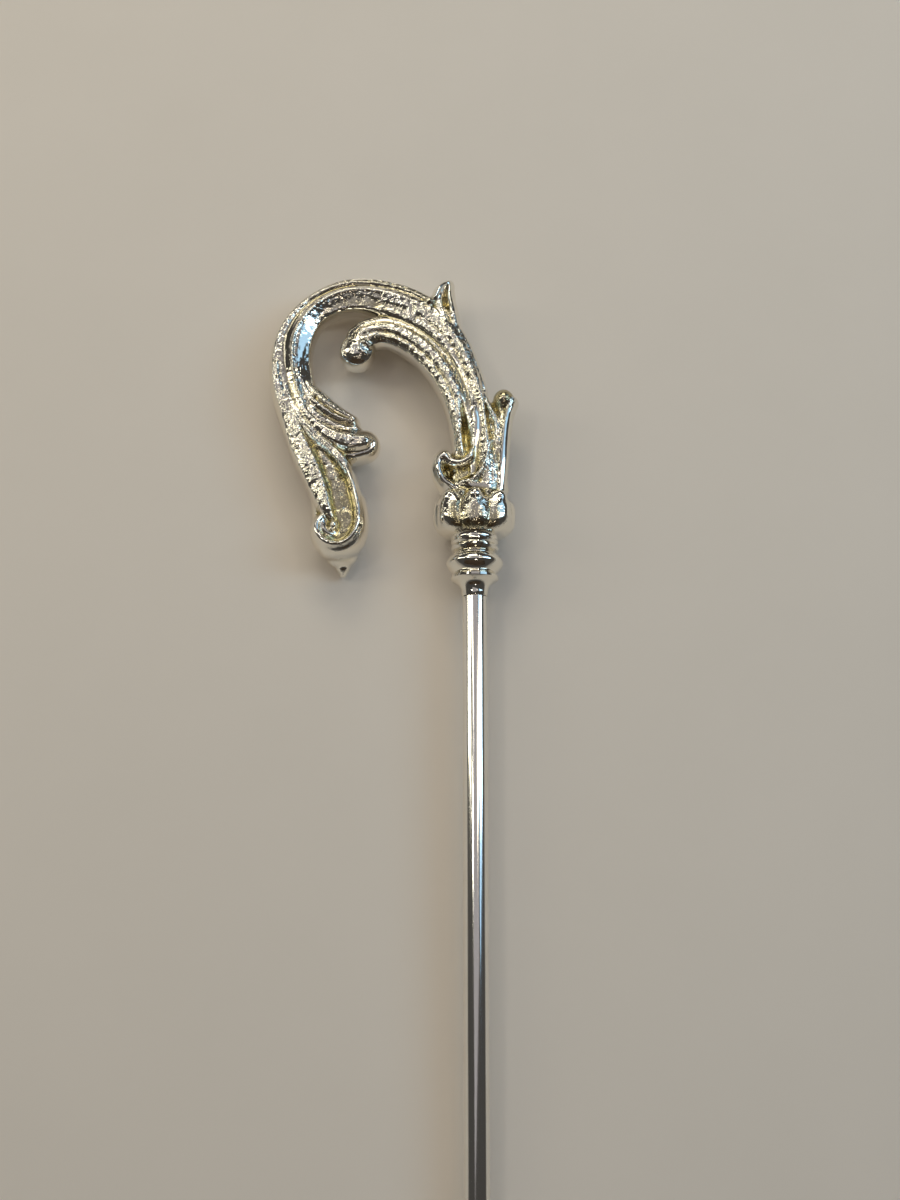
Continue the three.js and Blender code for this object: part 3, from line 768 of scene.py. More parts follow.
@dataclass
class Knop:
    """The lobed knop under the crook, in drawing millimetres.

    Attributes:
        lobes: How many lobes go round it.
        lobe_depth: How deep the clefts between them are, of the radius.
        flattening: Its depth from front to back, of its width.
        squareness: 2 for a round plan, more for a squarer one.
        bottom: Where it starts.
        height: How high it is.
        radius: Its largest radius.
        half_width: How far to each side the field is worked out.
        margin: How far past its ends the field is worked out.
        belly: How squarely it bulges in its lower and its upper half.
        belly_round: How round its outline is.
        cleft_power: How sharp the clefts are.
        cleft_rise: How deep a cleft is at the bottom, and how much it gains.
        cleft_side: How deep the clefts at the sides are, of the front ones.
        boss_radius, boss_ring, boss_height, boss_rough: The bosses on its lobes.
        arc_radius, arc_width, arc_depth: The arc cut over a boss.
        arc_start, arc_fade: How far under the boss it begins, and deepens.
        patch_height, patch_reach, patch_rough: The rough patch in front.
        grade: The field's slope across its side.
        end_round: The rounding of its ends.
        fillet: The fillet where it meets the crook.
    """

    lobes: int = 8
    lobe_depth: float = 0.2
    flattening: float = 0.84
    squareness: float = 2.5
    bottom: float = 7.2
    height: float = 6.7
    radius: float = 5.15
    half_width: float = 7
    margin: float = 1.5
    belly: tuple[float, float] = (3.4, 2.6)
    belly_round: float = 0.45
    cleft_power: float = 0.7
    cleft_rise: tuple[float, float] = (0.35, 0.9)
    cleft_side: float = 0.3
    boss_radius: float = 0.85
    boss_ring: float = 4.45
    boss_height: float = 12.2
    boss_rough: float = 0.3
    arc_radius: float = 1.25
    arc_width: float = 0.42
    arc_depth: float = 0.5
    arc_start: float = 0.5
    arc_fade: float = 0.6
    patch_height: float = 10
    patch_reach: float = 3.6
    patch_rough: float = 0.7
    grade: float = 0.8
    end_round: float = 0.5
    fillet: float = 0.3

    def add_to(self, cast: CastField) -> None:
        """Joins the knop and its bosses to the casting's field."""
        cut = cast.window((-self.half_width, self.bottom - self.margin),
                          (self.half_width, self.bottom + self.height + self.margin))
        x = cast.axes[0][cut[0]][:, None, None]
        y = cast.axes[1][cut[1]][None, :, None]
        z = cast.axes[2][None, None, :] / self.flattening
        flat_x, flat_y = np.meshgrid(cast.axes[0][cut[0]], cast.axes[1][cut[1]], indexing="ij")
        patch = bump(np.abs((flat_y - self.patch_height) / self.patch_reach))
        patch = np.minimum(2 * patch * bump(np.abs(flat_x / self.radius)), 1)
        sand = self.patch_rough * cast.grain_height * cast.grain.read(flat_x, flat_y) * patch
        arcs = np.where(z > 0, self.arcs(flat_x, flat_y)[..., None], 0)
        side = (self.bulge(x, y, z) - sand[..., None] + arcs) * self.grade
        ends = np.maximum(self.bottom - y, y - self.bottom - self.height)
        knop = soft_max(side, ends + 0 * side, self.end_round)
        cast.values[cut] = soft_min(cast.values[cut], knop, self.fillet)
        cast.rough[cut] = np.where(flat_y < self.bottom + self.height, self.patch_rough * patch,
                                   cast.rough[cut])
        for at in self.bosses():
            cast.add_lump(at, (self.boss_radius,) * 3, self.boss_rough)

    def bulge(self, x: np.ndarray, y: np.ndarray, z: np.ndarray) -> np.ndarray:
        """Returns the distance past the knop's lobed side."""
        reach = (np.abs(x) ** self.squareness + np.abs(z) ** self.squareness) ** (1 / self.squareness)
        angle = np.arctan2(x, z)
        rise = np.clip((y - self.bottom) / self.height, 0, 1)
        power = np.where(rise < 0.5, *self.belly)
        belly = np.maximum(1 - np.abs(2 * rise - 1) ** power, 0.02) ** self.belly_round
        cleft = 1 - np.abs(np.cos(self.lobes / 2 * angle)) ** self.cleft_power
        cleft = cleft * (self.cleft_rise[0] + self.cleft_rise[1] * rise)
        cleft = cleft * (self.cleft_side + (1 - self.cleft_side) * np.abs(np.cos(angle)))
        return reach - self.radius * belly * (1 - self.lobe_depth * cleft)

    def arcs(self, x: np.ndarray, y: np.ndarray) -> np.ndarray:
        """Returns how deep the arcs over the front bosses are."""
        total = np.zeros_like(x)
        for at in self.bosses():
            if at[2] > 0:
                ring = bump(np.abs(np.hypot(x - at[0], y - at[1]) - self.arc_radius) / self.arc_width)
                total += self.arc_depth * ring * np.clip((y - at[1] + self.arc_start) / self.arc_fade, 0, 1)
        return total

    def bosses(self) -> list[tuple[float, float, float]]:
        """Returns where the bosses over the front and back lobes stand."""
        turns = [2 * math.pi * lobe / self.lobes for lobe in range(self.lobes)]
        return [(self.boss_ring * math.sin(turn), self.boss_height,
                 self.flattening * self.boss_ring * math.cos(turn))
                for turn in turns if abs(math.cos(turn)) > 0.5]


@dataclass
class Collar:
    """The turned collar and neck: [radius, height] corners in millimetres.

    Attributes:
        neck_radius: The radius of the neck's lower end.
        below: The corners from the neck's lower end to the bulb.
        bulb: The bulb's start and end, and its radius there and at its crest.
        above: The corners from the bulb to inside the knop.
        arc_power: How sharp the bulb's crest is.
        steps: How many steps the bulb has.
    """

    neck_radius: float = 1.63
    below: tuple[Point, ...] = ((1.56, 0), (1.63, 0.12), (1.64, 0.5), (1.72, 1), (1.95, 1.45),
                                (2.35, 1.8), (2.85, 2.05), (2.98, 2.2), (2.95, 2.5), (2.55, 2.75))
    bulb: tuple[float, float, float, float] = (2.7, 5.7, 2.5, 3.56)
    above: tuple[Point, ...] = ((2.4, 5.75), (2.8, 5.85), (2.95, 6.15), (2.85, 6.4), (2.6, 6.5),
                                (2.8, 6.62), (2.98, 6.9), (2.9, 7.2), (2.9, 9))
    arc_power: float = 1.6
    steps: int = 14

    def profile(self) -> list[Point]:
        """Returns the collar's outline, with the bulb as an arc."""
        start, end, edge, crest = self.bulb
        arc = []
        for i in range(self.steps + 1):
            rise = i / self.steps
            bulge = 1 - abs(2 * rise - 1) ** self.arc_power
            arc.append((edge + (crest - edge) * bulge, start + (end - start) * rise))
        return [*self.below, *arc, *self.above]


# ------------------------------------------------------------ geometry trees


class NodeTree:
    """A node tree under construction, for geometry or for a material."""

    def __init__(self, tree: bpy.types.NodeTree) -> None:
        """Starts with an empty tree."""
        self.tree = tree
        self.tree.nodes.clear()

    def node(self, kind: str, settings: dict | None = None, inputs: dict | None = None) -> bpy.types.Node:
        """Adds a node.

        Args:
            kind: The node's type.
            settings: Properties to set on the node, before its sockets.
            inputs: A value or a link for each socket, by name or place.

        Returns:
            The new node.
        """
        new = self.tree.nodes.new(kind)
        for name, value in (settings or {}).items():
            if name == "stops":
                self.set_stops(new.color_ramp, value)
            else:
                setattr(new, name, value)
        for name, value in (inputs or {}).items():
            self.feed(new.inputs[name], value)
        return new

    def feed(self, socket: bpy.types.NodeSocket, value: object) -> None:
        """Links a socket, or sets its value."""
        source = getattr(value, "socket", value)
        if isinstance(source, bpy.types.NodeSocket):
            self.tree.links.new(source, socket)
        else:
            socket.default_value = source

    @staticmethod
    def set_stops(ramp: bpy.types.ColorRamp, stops: Sequence[tuple[float, Sequence[float]]]) -> None:
        """Sets a colour ramp's stops, as (position, colour) pairs."""
        while len(ramp.elements) < len(stops):
            ramp.elements.new(1)
        for element, (position, colour) in zip(ramp.elements, stops):
            element.position = position
            element.color = (*colour, 1)


class GeometryTree(NodeTree):
    """A Geometry Nodes tree with named inputs, run once and baked."""

    def __init__(self, name: str) -> None:
        """Starts a tree that takes and gives a mesh."""
        super().__init__(bpy.data.node_groups.new(name, "GeometryNodeTree"))
        interface = self.tree.interface
        interface.new_socket("Geometry", in_out="INPUT", socket_type="NodeSocketGeometry")
        interface.new_socket("Geometry", in_out="OUTPUT", socket_type="NodeSocketGeometry")
        self.inlet: bpy.types.Node | None = None

    def size(self, name: str, kind: str = "NodeSocketFloat") -> None:
        """Declares a named input."""
        self.tree.interface.new_socket(name, in_out="INPUT", socket_type=kind)

    def start(self) -> bpy.types.Node:
        """Returns the tree's input node, once its inputs are declared."""
        self.inlet = self.node("NodeGroupInput")
        return self.inlet

    def end(self, geometry: bpy.types.NodeSocket) -> None:
        """Ends the tree in real, dressed geometry."""
        real = self.node("GeometryNodeRealizeInstances", inputs={"Geometry": geometry})
        dressed = self.node("GeometryNodeSetMaterial", inputs={
            "Geometry": real.outputs[0], "Material": self.inlet.outputs["Material"]})
        self.node("NodeGroupOutput", inputs={"Geometry": dressed.outputs[0]})

    def bake(self, mesh: bpy.types.Mesh, name: str, sizes: dict[str, object]) -> bpy.types.Mesh:
        """Runs the tree on a mesh.

        Args:
            mesh: The mesh to start from, which is used up.
            name: The new mesh's name.
            sizes: A value for each named input.

        Returns:
            The plain mesh that the tree makes.
        """
        holder = bpy.data.objects.new(name, mesh)
        bpy.context.scene.collection.objects.link(holder)
        modifier = holder.modifiers.new(name, "NODES")
        modifier.node_group = self.tree
        for item in self.tree.interface.items_tree:
            if item.in_out == "INPUT" and item.name in sizes:
                modifier[item.identifier] = sizes[item.name]
        graph = bpy.context.evaluated_depsgraph_get()
        made = bpy.data.meshes.new_from_object(holder.evaluated_get(graph), depsgraph=graph)
        made.name = name
        bpy.data.objects.remove(holder)
        bpy.data.meshes.remove(mesh)
        return made


def turning_tree() -> GeometryTree:
    """Builds the tree that turns a piece round the line that it is given.

    The line's points carry the piece's radius as an attribute.
    """
    tree = GeometryTree("Turned piece")
    tree.size("Sides", "NodeSocketInt")
    tree.size("Material", "NodeSocketMaterial")
    sizes = tree.start()
    curve = tree.node("GeometryNodeMeshToCurve", inputs={"Mesh": sizes.outputs["Geometry"]})
    radius = tree.node("GeometryNodeInputNamedAttribute", {"data_type": "FLOAT"}, {"Name": "radius"})
    ring = tree.node("GeometryNodeCurvePrimitiveCircle", {"mode": "RADIUS"}, {
        "Resolution": sizes.outputs["Sides"], "Radius": 1.0})
    skin = tree.node("GeometryNodeCurveToMesh", inputs={
        "Curve": curve.outputs[0], "Profile Curve": ring.outputs[0], "Scale": radius.outputs["Attribute"],
        "Fill Caps": True})
    tree.end(skin.outputs[0])
    return tree


def skin_tree() -> GeometryTree:
    """Builds the tree that raises a casting's fine grain where it is rough."""
    tree = GeometryTree("Cast skin")
    tree.size("Grain size")
    tree.size("Grain height")
    tree.size("Seed")
    tree.size("Material", "NodeSocketMaterial")
    sizes = tree.start()
    rough = tree.node("GeometryNodeInputNamedAttribute", {"data_type": "FLOAT"}, {"Name": "rough"})
    scale = tree.node("ShaderNodeMath", {"operation": "DIVIDE"}, {0: 1.0, 1: sizes.outputs["Grain size"]})
    noise = tree.node("ShaderNodeTexNoise", {"noise_dimensions": "4D"}, {
        "Scale": scale.outputs[0], "Detail": 2.0, "Roughness": 0.6, "W": sizes.outputs["Seed"]})
    centred = tree.node("ShaderNodeMath", {"operation": "SUBTRACT"}, {0: noise.outputs[0], 1: 0.5})
    raised = tree.node("ShaderNodeMath", {"operation": "MULTIPLY"}, {
        0: centred.outputs[0], 1: sizes.outputs["Grain height"]})
    masked = tree.node("ShaderNodeMath", {"operation": "MULTIPLY"}, {
        0: raised.outputs[0], 1: rough.outputs["Attribute"]})
    normal = tree.node("GeometryNodeInputNormal")
    offset = tree.node("ShaderNodeVectorMath", {"operation": "SCALE"}, {
        0: normal.outputs[0], "Scale": masked.outputs[0]})
    moved = tree.node("GeometryNodeSetPosition", inputs={
        "Geometry": sizes.outputs["Geometry"], "Offset": offset.outputs[0]})
    shaded = tree.node("GeometryNodeSetShadeSmooth", inputs={"Geometry": moved.outputs[0]})
    tree.end(shaded.outputs[0])
    return tree


# ----------------------------------------------------------------- finishes


class Sock:
    """A shader socket that takes part in Python arithmetic."""

    def __init__(self, tree: NodeTree, socket: bpy.types.NodeSocket) -> None:
        """Wraps a node's output."""
        self.tree = tree
        self.socket = socket

    def math(self, operation: str, first: object, second: object) -> Sock:
        """Adds a Math node and returns its output."""
        made = self.tree.node("ShaderNodeMath", {"operation": operation}, {0: first, 1: second})
        return Sock(self.tree, made.outputs[0])

    def __add__(self, other: object) -> Sock:
        """Returns self + other."""
        return self.math("ADD", self, other)

    def __radd__(self, other: object) -> Sock:
        """Returns other + self."""
        return self.math("ADD", other, self)

    def __sub__(self, other: object) -> Sock:
        """Returns self - other."""
        return self.math("SUBTRACT", self, other)

    def __mul__(self, other: object) -> Sock:
        """Returns self * other."""
        return self.math("MULTIPLY", self, other)

    def __rmul__(self, other: object) -> Sock:
        """Returns other * self."""
        return self.math("MULTIPLY", other, self)

    def clamp(self) -> Sock:
        """Returns the value, kept from 0 to 1."""
        return self.math("MINIMUM", self.math("MAXIMUM", self, 0.0), 1.0)


class ShaderTree(NodeTree):
    """A material's node tree, with the nodes that the silver finishes share."""

    def __init__(self, name: str) -> None:
        """Starts a new material."""
        self.material = bpy.data.materials.new(name)
        self.material.use_nodes = True
        super().__init__(self.material.node_tree)
        self.coordinates = self.node("ShaderNodeTexCoord").outputs["Object"]

    def attribute(self, name: str) -> Sock:
        """Reads a number that the mesh carries."""
        made = self.node("ShaderNodeAttribute", {"attribute_name": name})
        return Sock(self, made.outputs["Fac"])

    def noise(self, size: float, detail: float = 2, stretch: Sequence[float] = (1, 1, 1)) -> Sock:
        """Adds noise.

        Args:
            size: The size of its blotches, in metres.
            detail: How many finer layers it has.
            stretch: How much longer its blotches are along each axis.

        Returns:
            Its value, about 0.5 on average.
        """
        mapping = self.node("ShaderNodeMapping", inputs={
            "Vector": self.coordinates, "Scale": [1 / (size * s) for s in stretch]})
        made = self.node("ShaderNodeTexNoise", inputs={
            "Vector": mapping.outputs[0], "Scale": 1.0, "Detail": detail, "Roughness": 0.6})
        return Sock(self, made.outputs[0])

    def blend(self, factor: Sock, first: Sequence[float], second: Sequence[float]) -> Sock:
        """Mixes two colours by a factor."""
        made = self.node("ShaderNodeMix", {"data_type": "RGBA"}, {
            "Factor": factor, "A": (*first, 1), "B": (*second, 1)})
        return Sock(self, made.outputs["Result"])

    def finish(self, inputs: dict[str, object], height: Sock | None = None,
               depth: float = 0) -> bpy.types.Material:
        """Ends the material in one Principled shader.

        Args:
            inputs: The shader's socket values and links.
            height: The fine relief, about 0 to 1.
            depth: How high the relief stands, in metres.

        Returns:
            The material.
        """
        shader = self.node("ShaderNodeBsdfPrincipled", inputs=inputs)
        if height is not None:
            raised = self.node("ShaderNodeBump", inputs={
                "Strength": 1.0, "Distance": depth, "Height": height})
            self.feed(shader.inputs["Normal"], raised.outputs[0])
        self.node("ShaderNodeOutputMaterial", inputs={"Surface": shader.outputs[0]})
        return self.material


@dataclass(frozen=True)
class CastSilver:
    """Bright silver plate over a sand-rough casting.

    Attributes:
        bright: The plate's colour.
        tarnish: Its colour in the hollows.
        hollow_tarnish: How much of that colour a hollow takes.
        cloud_tarnish: How much of it a cloud on a rough face takes.
        cloud_level: How strong a cloud is before it shows.
        polished: The roughness of a smooth face.
        sanded: How much more a rough face has.
        cloud_dull: How much more a cloud has.
        hollow_dull: How much more a hollow has.
        grain: The size of the grains, in metres.
        speck: The size of the specks in the hollows, of the grains'.
        cloud: The size of the clouds, in metres.
        ripple: The size of the ripples, in metres.
        relief: How high the grains are, in metres.
        speck_height: How high the specks are, of the grains.
        ripple_height: How high the ripples are, on smooth and on rough faces.
    """

    bright: tuple[float, float, float] = (0.87, 0.84, 0.76)
    tarnish: tuple[float, float, float] = (0.42, 0.35, 0.15)
    hollow_tarnish: float = 0.85
    cloud_tarnish: float = 0.8
    cloud_level: float = 0.3
    polished: float = 0.035
    sanded: float = 0.03
    cloud_dull: float = 0.03
    hollow_dull: float = 0.06
    grain: float = 0.0003
    speck: float = 0.45
    cloud: float = 0.003
    ripple: float = 0.0009
    relief: float = 0.00008
    speck_height: float = 0.3
    ripple_height: tuple[float, float] = (0.1, 0.35)

    def material(self) -> bpy.types.Material:
        """Builds the material."""
        tree = ShaderTree("cast silver plate")
        rough = tree.attribute("rough")
        hollow = tree.attribute("hollow")
        sand = tree.noise(self.grain, 1)
        specks = tree.noise(self.grain * self.speck, 1)
        clouds = tree.noise(self.cloud)
        ripple = tree.noise(self.ripple)
        tarnished = hollow * self.hollow_tarnish + rough * (clouds - self.cloud_level) * self.cloud_tarnish
        roughness = self.polished + rough * self.sanded * (0.5 + sand)
        roughness = roughness + self.cloud_dull * clouds + self.hollow_dull * hollow
        low, high = self.ripple_height
        height = rough * sand + self.speck_height * hollow * specks + (low + (high - low) * rough) * ripple
        return tree.finish({
            "Base Color": tree.blend(tarnished.clamp(), self.bright, self.tarnish),
            "Metallic": 1.0,
            "Roughness": roughness,
        }, height, self.relief)


@dataclass(frozen=True)
class DrawnSilver:
    """Bright silver plate over a smooth drawn rod, with fine lines along it.

    Attributes:
        bright: The plate's colour.
        dull: Its colour in the clouds.
        cloud_level: How strong a cloud is before it shows.
        polished: The least roughness.
        line_dull: How much more a line has.
        cloud_dull: How much more a cloud has.
        line: How wide the lines are, in metres.
        stretch: How much longer than wide they are, along each axis.
        cloud: The size of the clouds, in metres.
        relief: How high the lines are, in metres.
        cloud_height: How high the clouds are, of the lines.
    """

    bright: tuple[float, float, float] = (0.92, 0.9, 0.86)
    dull: tuple[float, float, float] = (0.8, 0.76, 0.68)
    cloud_level: float = 0.3
    polished: float = 0.06
    line_dull: float = 0.05
    cloud_dull: float = 0.03
    line: float = 0.00012
    stretch: tuple[float, float, float] = (1, 160, 1)
    cloud: float = 0.004
    relief: float = 0.000004
    cloud_height: float = 0.6

    def material(self) -> bpy.types.Material:
        """Builds the material."""
        tree = ShaderTree("drawn silver plate")
        lines = tree.noise(self.line, 2, self.stretch)
        clouds = tree.noise(self.cloud, 3)
        return tree.finish({
            "Base Color": tree.blend((clouds - self.cloud_level).clamp(), self.bright, self.dull),
            "Metallic": 1.0,
            "Roughness": self.polished + self.line_dull * lines + self.cloud_dull * clouds,
        }, lines + self.cloud_height * clouds, self.relief)


@dataclass(frozen=True)
class StudioFloor:
    """A plain pale floor of matt card."""

    pale: tuple[float, float, float] = (0.93, 0.84, 0.745)
    deep: tuple[float, float, float] = (0.89, 0.805, 0.71)
    blotch: float = 0.02
    matt: float = 0.9

    def material(self) -> bpy.types.Material:
        """Builds the material."""
        tree = ShaderTree("studio card")
        return tree.finish({
            "Base Color": tree.blend(tree.noise(self.blotch, 3), self.pale, self.deep),
            "Roughness": self.matt,
        })


# ------------------------------------------------------------ solid metalwork


def turned_mesh(name: str, profile: Sequence[Point], sides: int,
                material: bpy.types.Material) -> bpy.types.Mesh:
    """Turns a profile round the staff's axis.

    Args:
        name: The new mesh's name.
        profile: [radius, height] corners, from the lower end up.
        sides: How many sides the turning has.
        material: The material that it wears.

    Returns:
        A closed mesh in drawing millimetres.
    """
    spaced = []
    for radius, height in profile:
        lowest = spaced[-1][1] + LEAST_RISE if spaced else height
        spaced.append((radius, max(height, lowest)))
    line = bpy.data.meshes.new(name)
    edges = [(i, i + 1) for i in range(len(spaced) - 1)]
    line.from_pydata([(0, height, 0) for _, height in spaced], edges, [])
    carried = line.attributes.new("radius", "FLOAT", "POINT")
    carried.data.foreach_set("value", [radius for radius, _ in spaced])
    made = turning_tree().bake(line, name, {"Sides": sides, "Material": material})
    made.shade_smooth()
    made.set_sharp_from_angle(angle=math.radians(SHARP_ANGLE))
    return made


@dataclass
class CrookHead:
    """The whole casting: crook, knop and turned collar as one piece.

    Attributes:
        frame: Where the drawing lies.
        crook: The crook.
        knop: The knop.
        collar: The collar.
        finish: The plate that it wears.
        low: The low corner of the casting's grid.
        high: The grid's high corner.
        step: The grid's spacing.
        sides: How many sides the collar has.
        skin_grain: The size of the skin's grain.
        skin_height: How high that grain is.
        skin_seed: The grain's seed.
        wall_facing: How much a point faces the front or back before it is rough.
        facing_span: How much more it does when it is fully rough.
        back_rough: How rough the back is, of the front.
        hollow_steps: How many steps of smoothing find the hollows.
        hollow_depth: How deep a full hollow is.
        low_face: The height under which a rough face keeps its tarnish.
        low_span: How far under that it keeps all of it.
        low_rough: How rough such a face is at least.
        low_share: How strong its tarnish is, of a hollow's.
    """

    frame: StaffFrame
    crook: Crook = field(default_factory=Crook)
    knop: Knop = field(default_factory=Knop)
    collar: Collar = field(default_factory=Collar)
    finish: CastSilver = field(default_factory=CastSilver)
    low: tuple[float, float, float] = (-28, 3, -5.2)
    high: tuple[float, float, float] = (7, 44, 5.2)
    step: tuple[float, float, float] = (0.155, 0.155, 0.3)
    sides: int = 96
    skin_grain: float = 0.38
    skin_height: float = 0.075
    skin_seed: float = 3.0
    wall_facing: float = 0.05
    facing_span: float = 0.3
    back_rough: float = 0.5
    hollow_steps: int = 36
    hollow_depth: float = 0.2
    low_face: float = 2.1
    low_span: float = 0.6
    low_rough: float = 0.3
    low_share: float = 0.8

    def cast(self) -> CastField:
        """Returns the field of the crook and knop."""
        cast = CastField(self.low, self.high, self.step)
        self.crook.add_to(cast)
        self.knop.add_to(cast)
        return cast

    def build(self) -> bpy.types.Object:
        """Builds, dresses and places the head.

        Returns:
            The head's object, with its place in its mesh.
        """
        material = self.finish.material()
        cast = self.cast()
        mesh = cast.mesh("crook casting")
        self.note_surface(mesh, cast)
        mesh = skin_tree().bake(mesh, "crook casting", {
            "Grain size": self.skin_grain, "Grain height": self.skin_height, "Seed": self.skin_seed,
            "Material": material})
        collar = turned_mesh("turned collar", self.collar.profile(), self.sides, material)
        head = self.join(mesh, collar)
        self.frame.lay(head.data)
        return head

    def note_surface(self, mesh: bpy.types.Mesh, cast: CastField) -> None:
        """Marks on each point how rough it is, and how deep in a hollow."""
        points, normals = self.read(mesh.vertices, "co"), self.read(mesh.vertices, "normal")
        i, j = [np.clip(np.rint((points[:, k] - cast.low[k]) / cast.step[k]).astype(int), 0,
                        cast.rough.shape[k] - 1) for k in (0, 1)]
        facing = np.clip((np.abs(normals[:, 2]) - self.wall_facing) / self.facing_span, 0, 1)
        rough = cast.rough[i, j] * facing * np.where(normals[:, 2] > 0, 1, self.back_rough)
        depth = ((self.levelled(mesh, points) - points) * normals).sum(1)
        hollow = np.clip(depth / self.hollow_depth, 0, 1)
        low = np.clip((self.low_face - cast.top[i, j]) / self.low_span, 0, 1)
        low = low * np.clip(rough / self.low_rough - 1, 0, 1)
        hollow = np.maximum(hollow, self.low_share * low)
        for name, values in (("rough", rough), ("hollow", hollow)):
            marks = mesh.attributes.new(name, "FLOAT", "POINT")
            marks.data.foreach_set("value", values.astype(np.float32))

    @staticmethod
    def read(items: bpy.types.bpy_prop_collection, name: str) -> np.ndarray:
        """Returns a vector property of each of a mesh's items."""
        values = np.empty(len(items) * 3, np.float32)
        items.foreach_get(name, values)
        return values.reshape(-1, 3)

    def levelled(self, mesh: bpy.types.Mesh, points: np.ndarray) -> np.ndarray:
        """Returns the points after each has moved to its neighbours' middle many times."""
        edges = np.empty(len(mesh.edges) * 2, np.int32)
        mesh.edges.foreach_get("vertices", edges)
        a, b = edges.reshape(-1, 2).T
        count = len(points)
        neighbours = np.bincount(a, minlength=count) + np.bincount(b, minlength=count)
        level = points.copy()
        for _ in range(self.hollow_steps):
            total = np.stack([np.bincount(a, level[b, k], count) + np.bincount(b, level[a, k], count)
                              for k in range(3)], 1)
            level = total / np.maximum(neighbours, 1)[:, None]
        return level

    def join(self, casting: bpy.types.Mesh, collar: bpy.types.Mesh) -> bpy.types.Object:
        """Joins the collar to the casting as one closed solid."""
        head = bpy.data.objects.new("crook_and_collar", casting)
        tool = bpy.data.objects.new("collar_tool", collar)
        for item in (head, tool):
            bpy.context.scene.collection.objects.link(item)
        union = head.modifiers.new("join", "BOOLEAN")
        union.operation = "UNION"
        union.solver = "MANIFOLD"
        union.object = tool
        graph = bpy.context.evaluated_depsgraph_get()
        joined = bpy.data.meshes.new_from_object(head.evaluated_get(graph), depsgraph=graph)
        head.modifiers.clear()
        head.data = joined
        bpy.data.objects.remove(tool)
        return head


@dataclass
class StaffRod:
    """The plain round rod, from its chamfered foot to its hidden spigot."""

    frame: StaffFrame
    finish: DrawnSilver = field(default_factory=DrawnSilver)
    radius: float = 1.5
    chamfer: float = 0.25
    spigot: float = 1.0
    gap: float = 0.1
    spigot_top: float = 4.9
    sides: int = 96
    steps: int = 12

    def build(self) -> bpy.types.Object:
        """Builds, dresses and places the rod.

        Returns:
            The rod's object, with its place in its mesh.
        """
        foot, top = self.frame.foot, -self.gap
        profile = [(self.radius - self.chamfer, foot), (self.radius, foot + self.chamfer)]
        profile += [(self.radius, foot + (top - foot) * i / self.steps) for i in range(1, self.steps)]
        profile += [(self.radius, top), (self.spigot, top), (self.spigot, self.spigot_top)]
        mesh = turned_mesh("rod", profile, self.sides, self.finish.material())
        rod = bpy.data.objects.new("plain_rod", mesh)
        bpy.context.scene.collection.objects.link(rod)
        self.frame.lay(mesh)
        return rod


# ------------------------------------------------------------------- studio


@dataclass(frozen=True)
class Softbox:
    """A soft light over the crook.

    Attributes:
        name: Its name.
        towards: Its direction from the crook, in the drawing.
        size: Its width and length in millimetres.
        glow: How bright its face is.
        colour: The colour of its light.
    """

    name: str
    towards: tuple[float, float, float]
    size: tuple[float, float]
    glow: float
    colour: tuple[float, float, float]


@dataclass(frozen=True)
class Flag:
    """A dark card that only reflections show: its direction, size and colour."""

    name: str
    towards: tuple[float, float, float]
    size: tuple[float, float]
    colour: tuple[float, float, float] = (0.1, 0.07, 0.05)


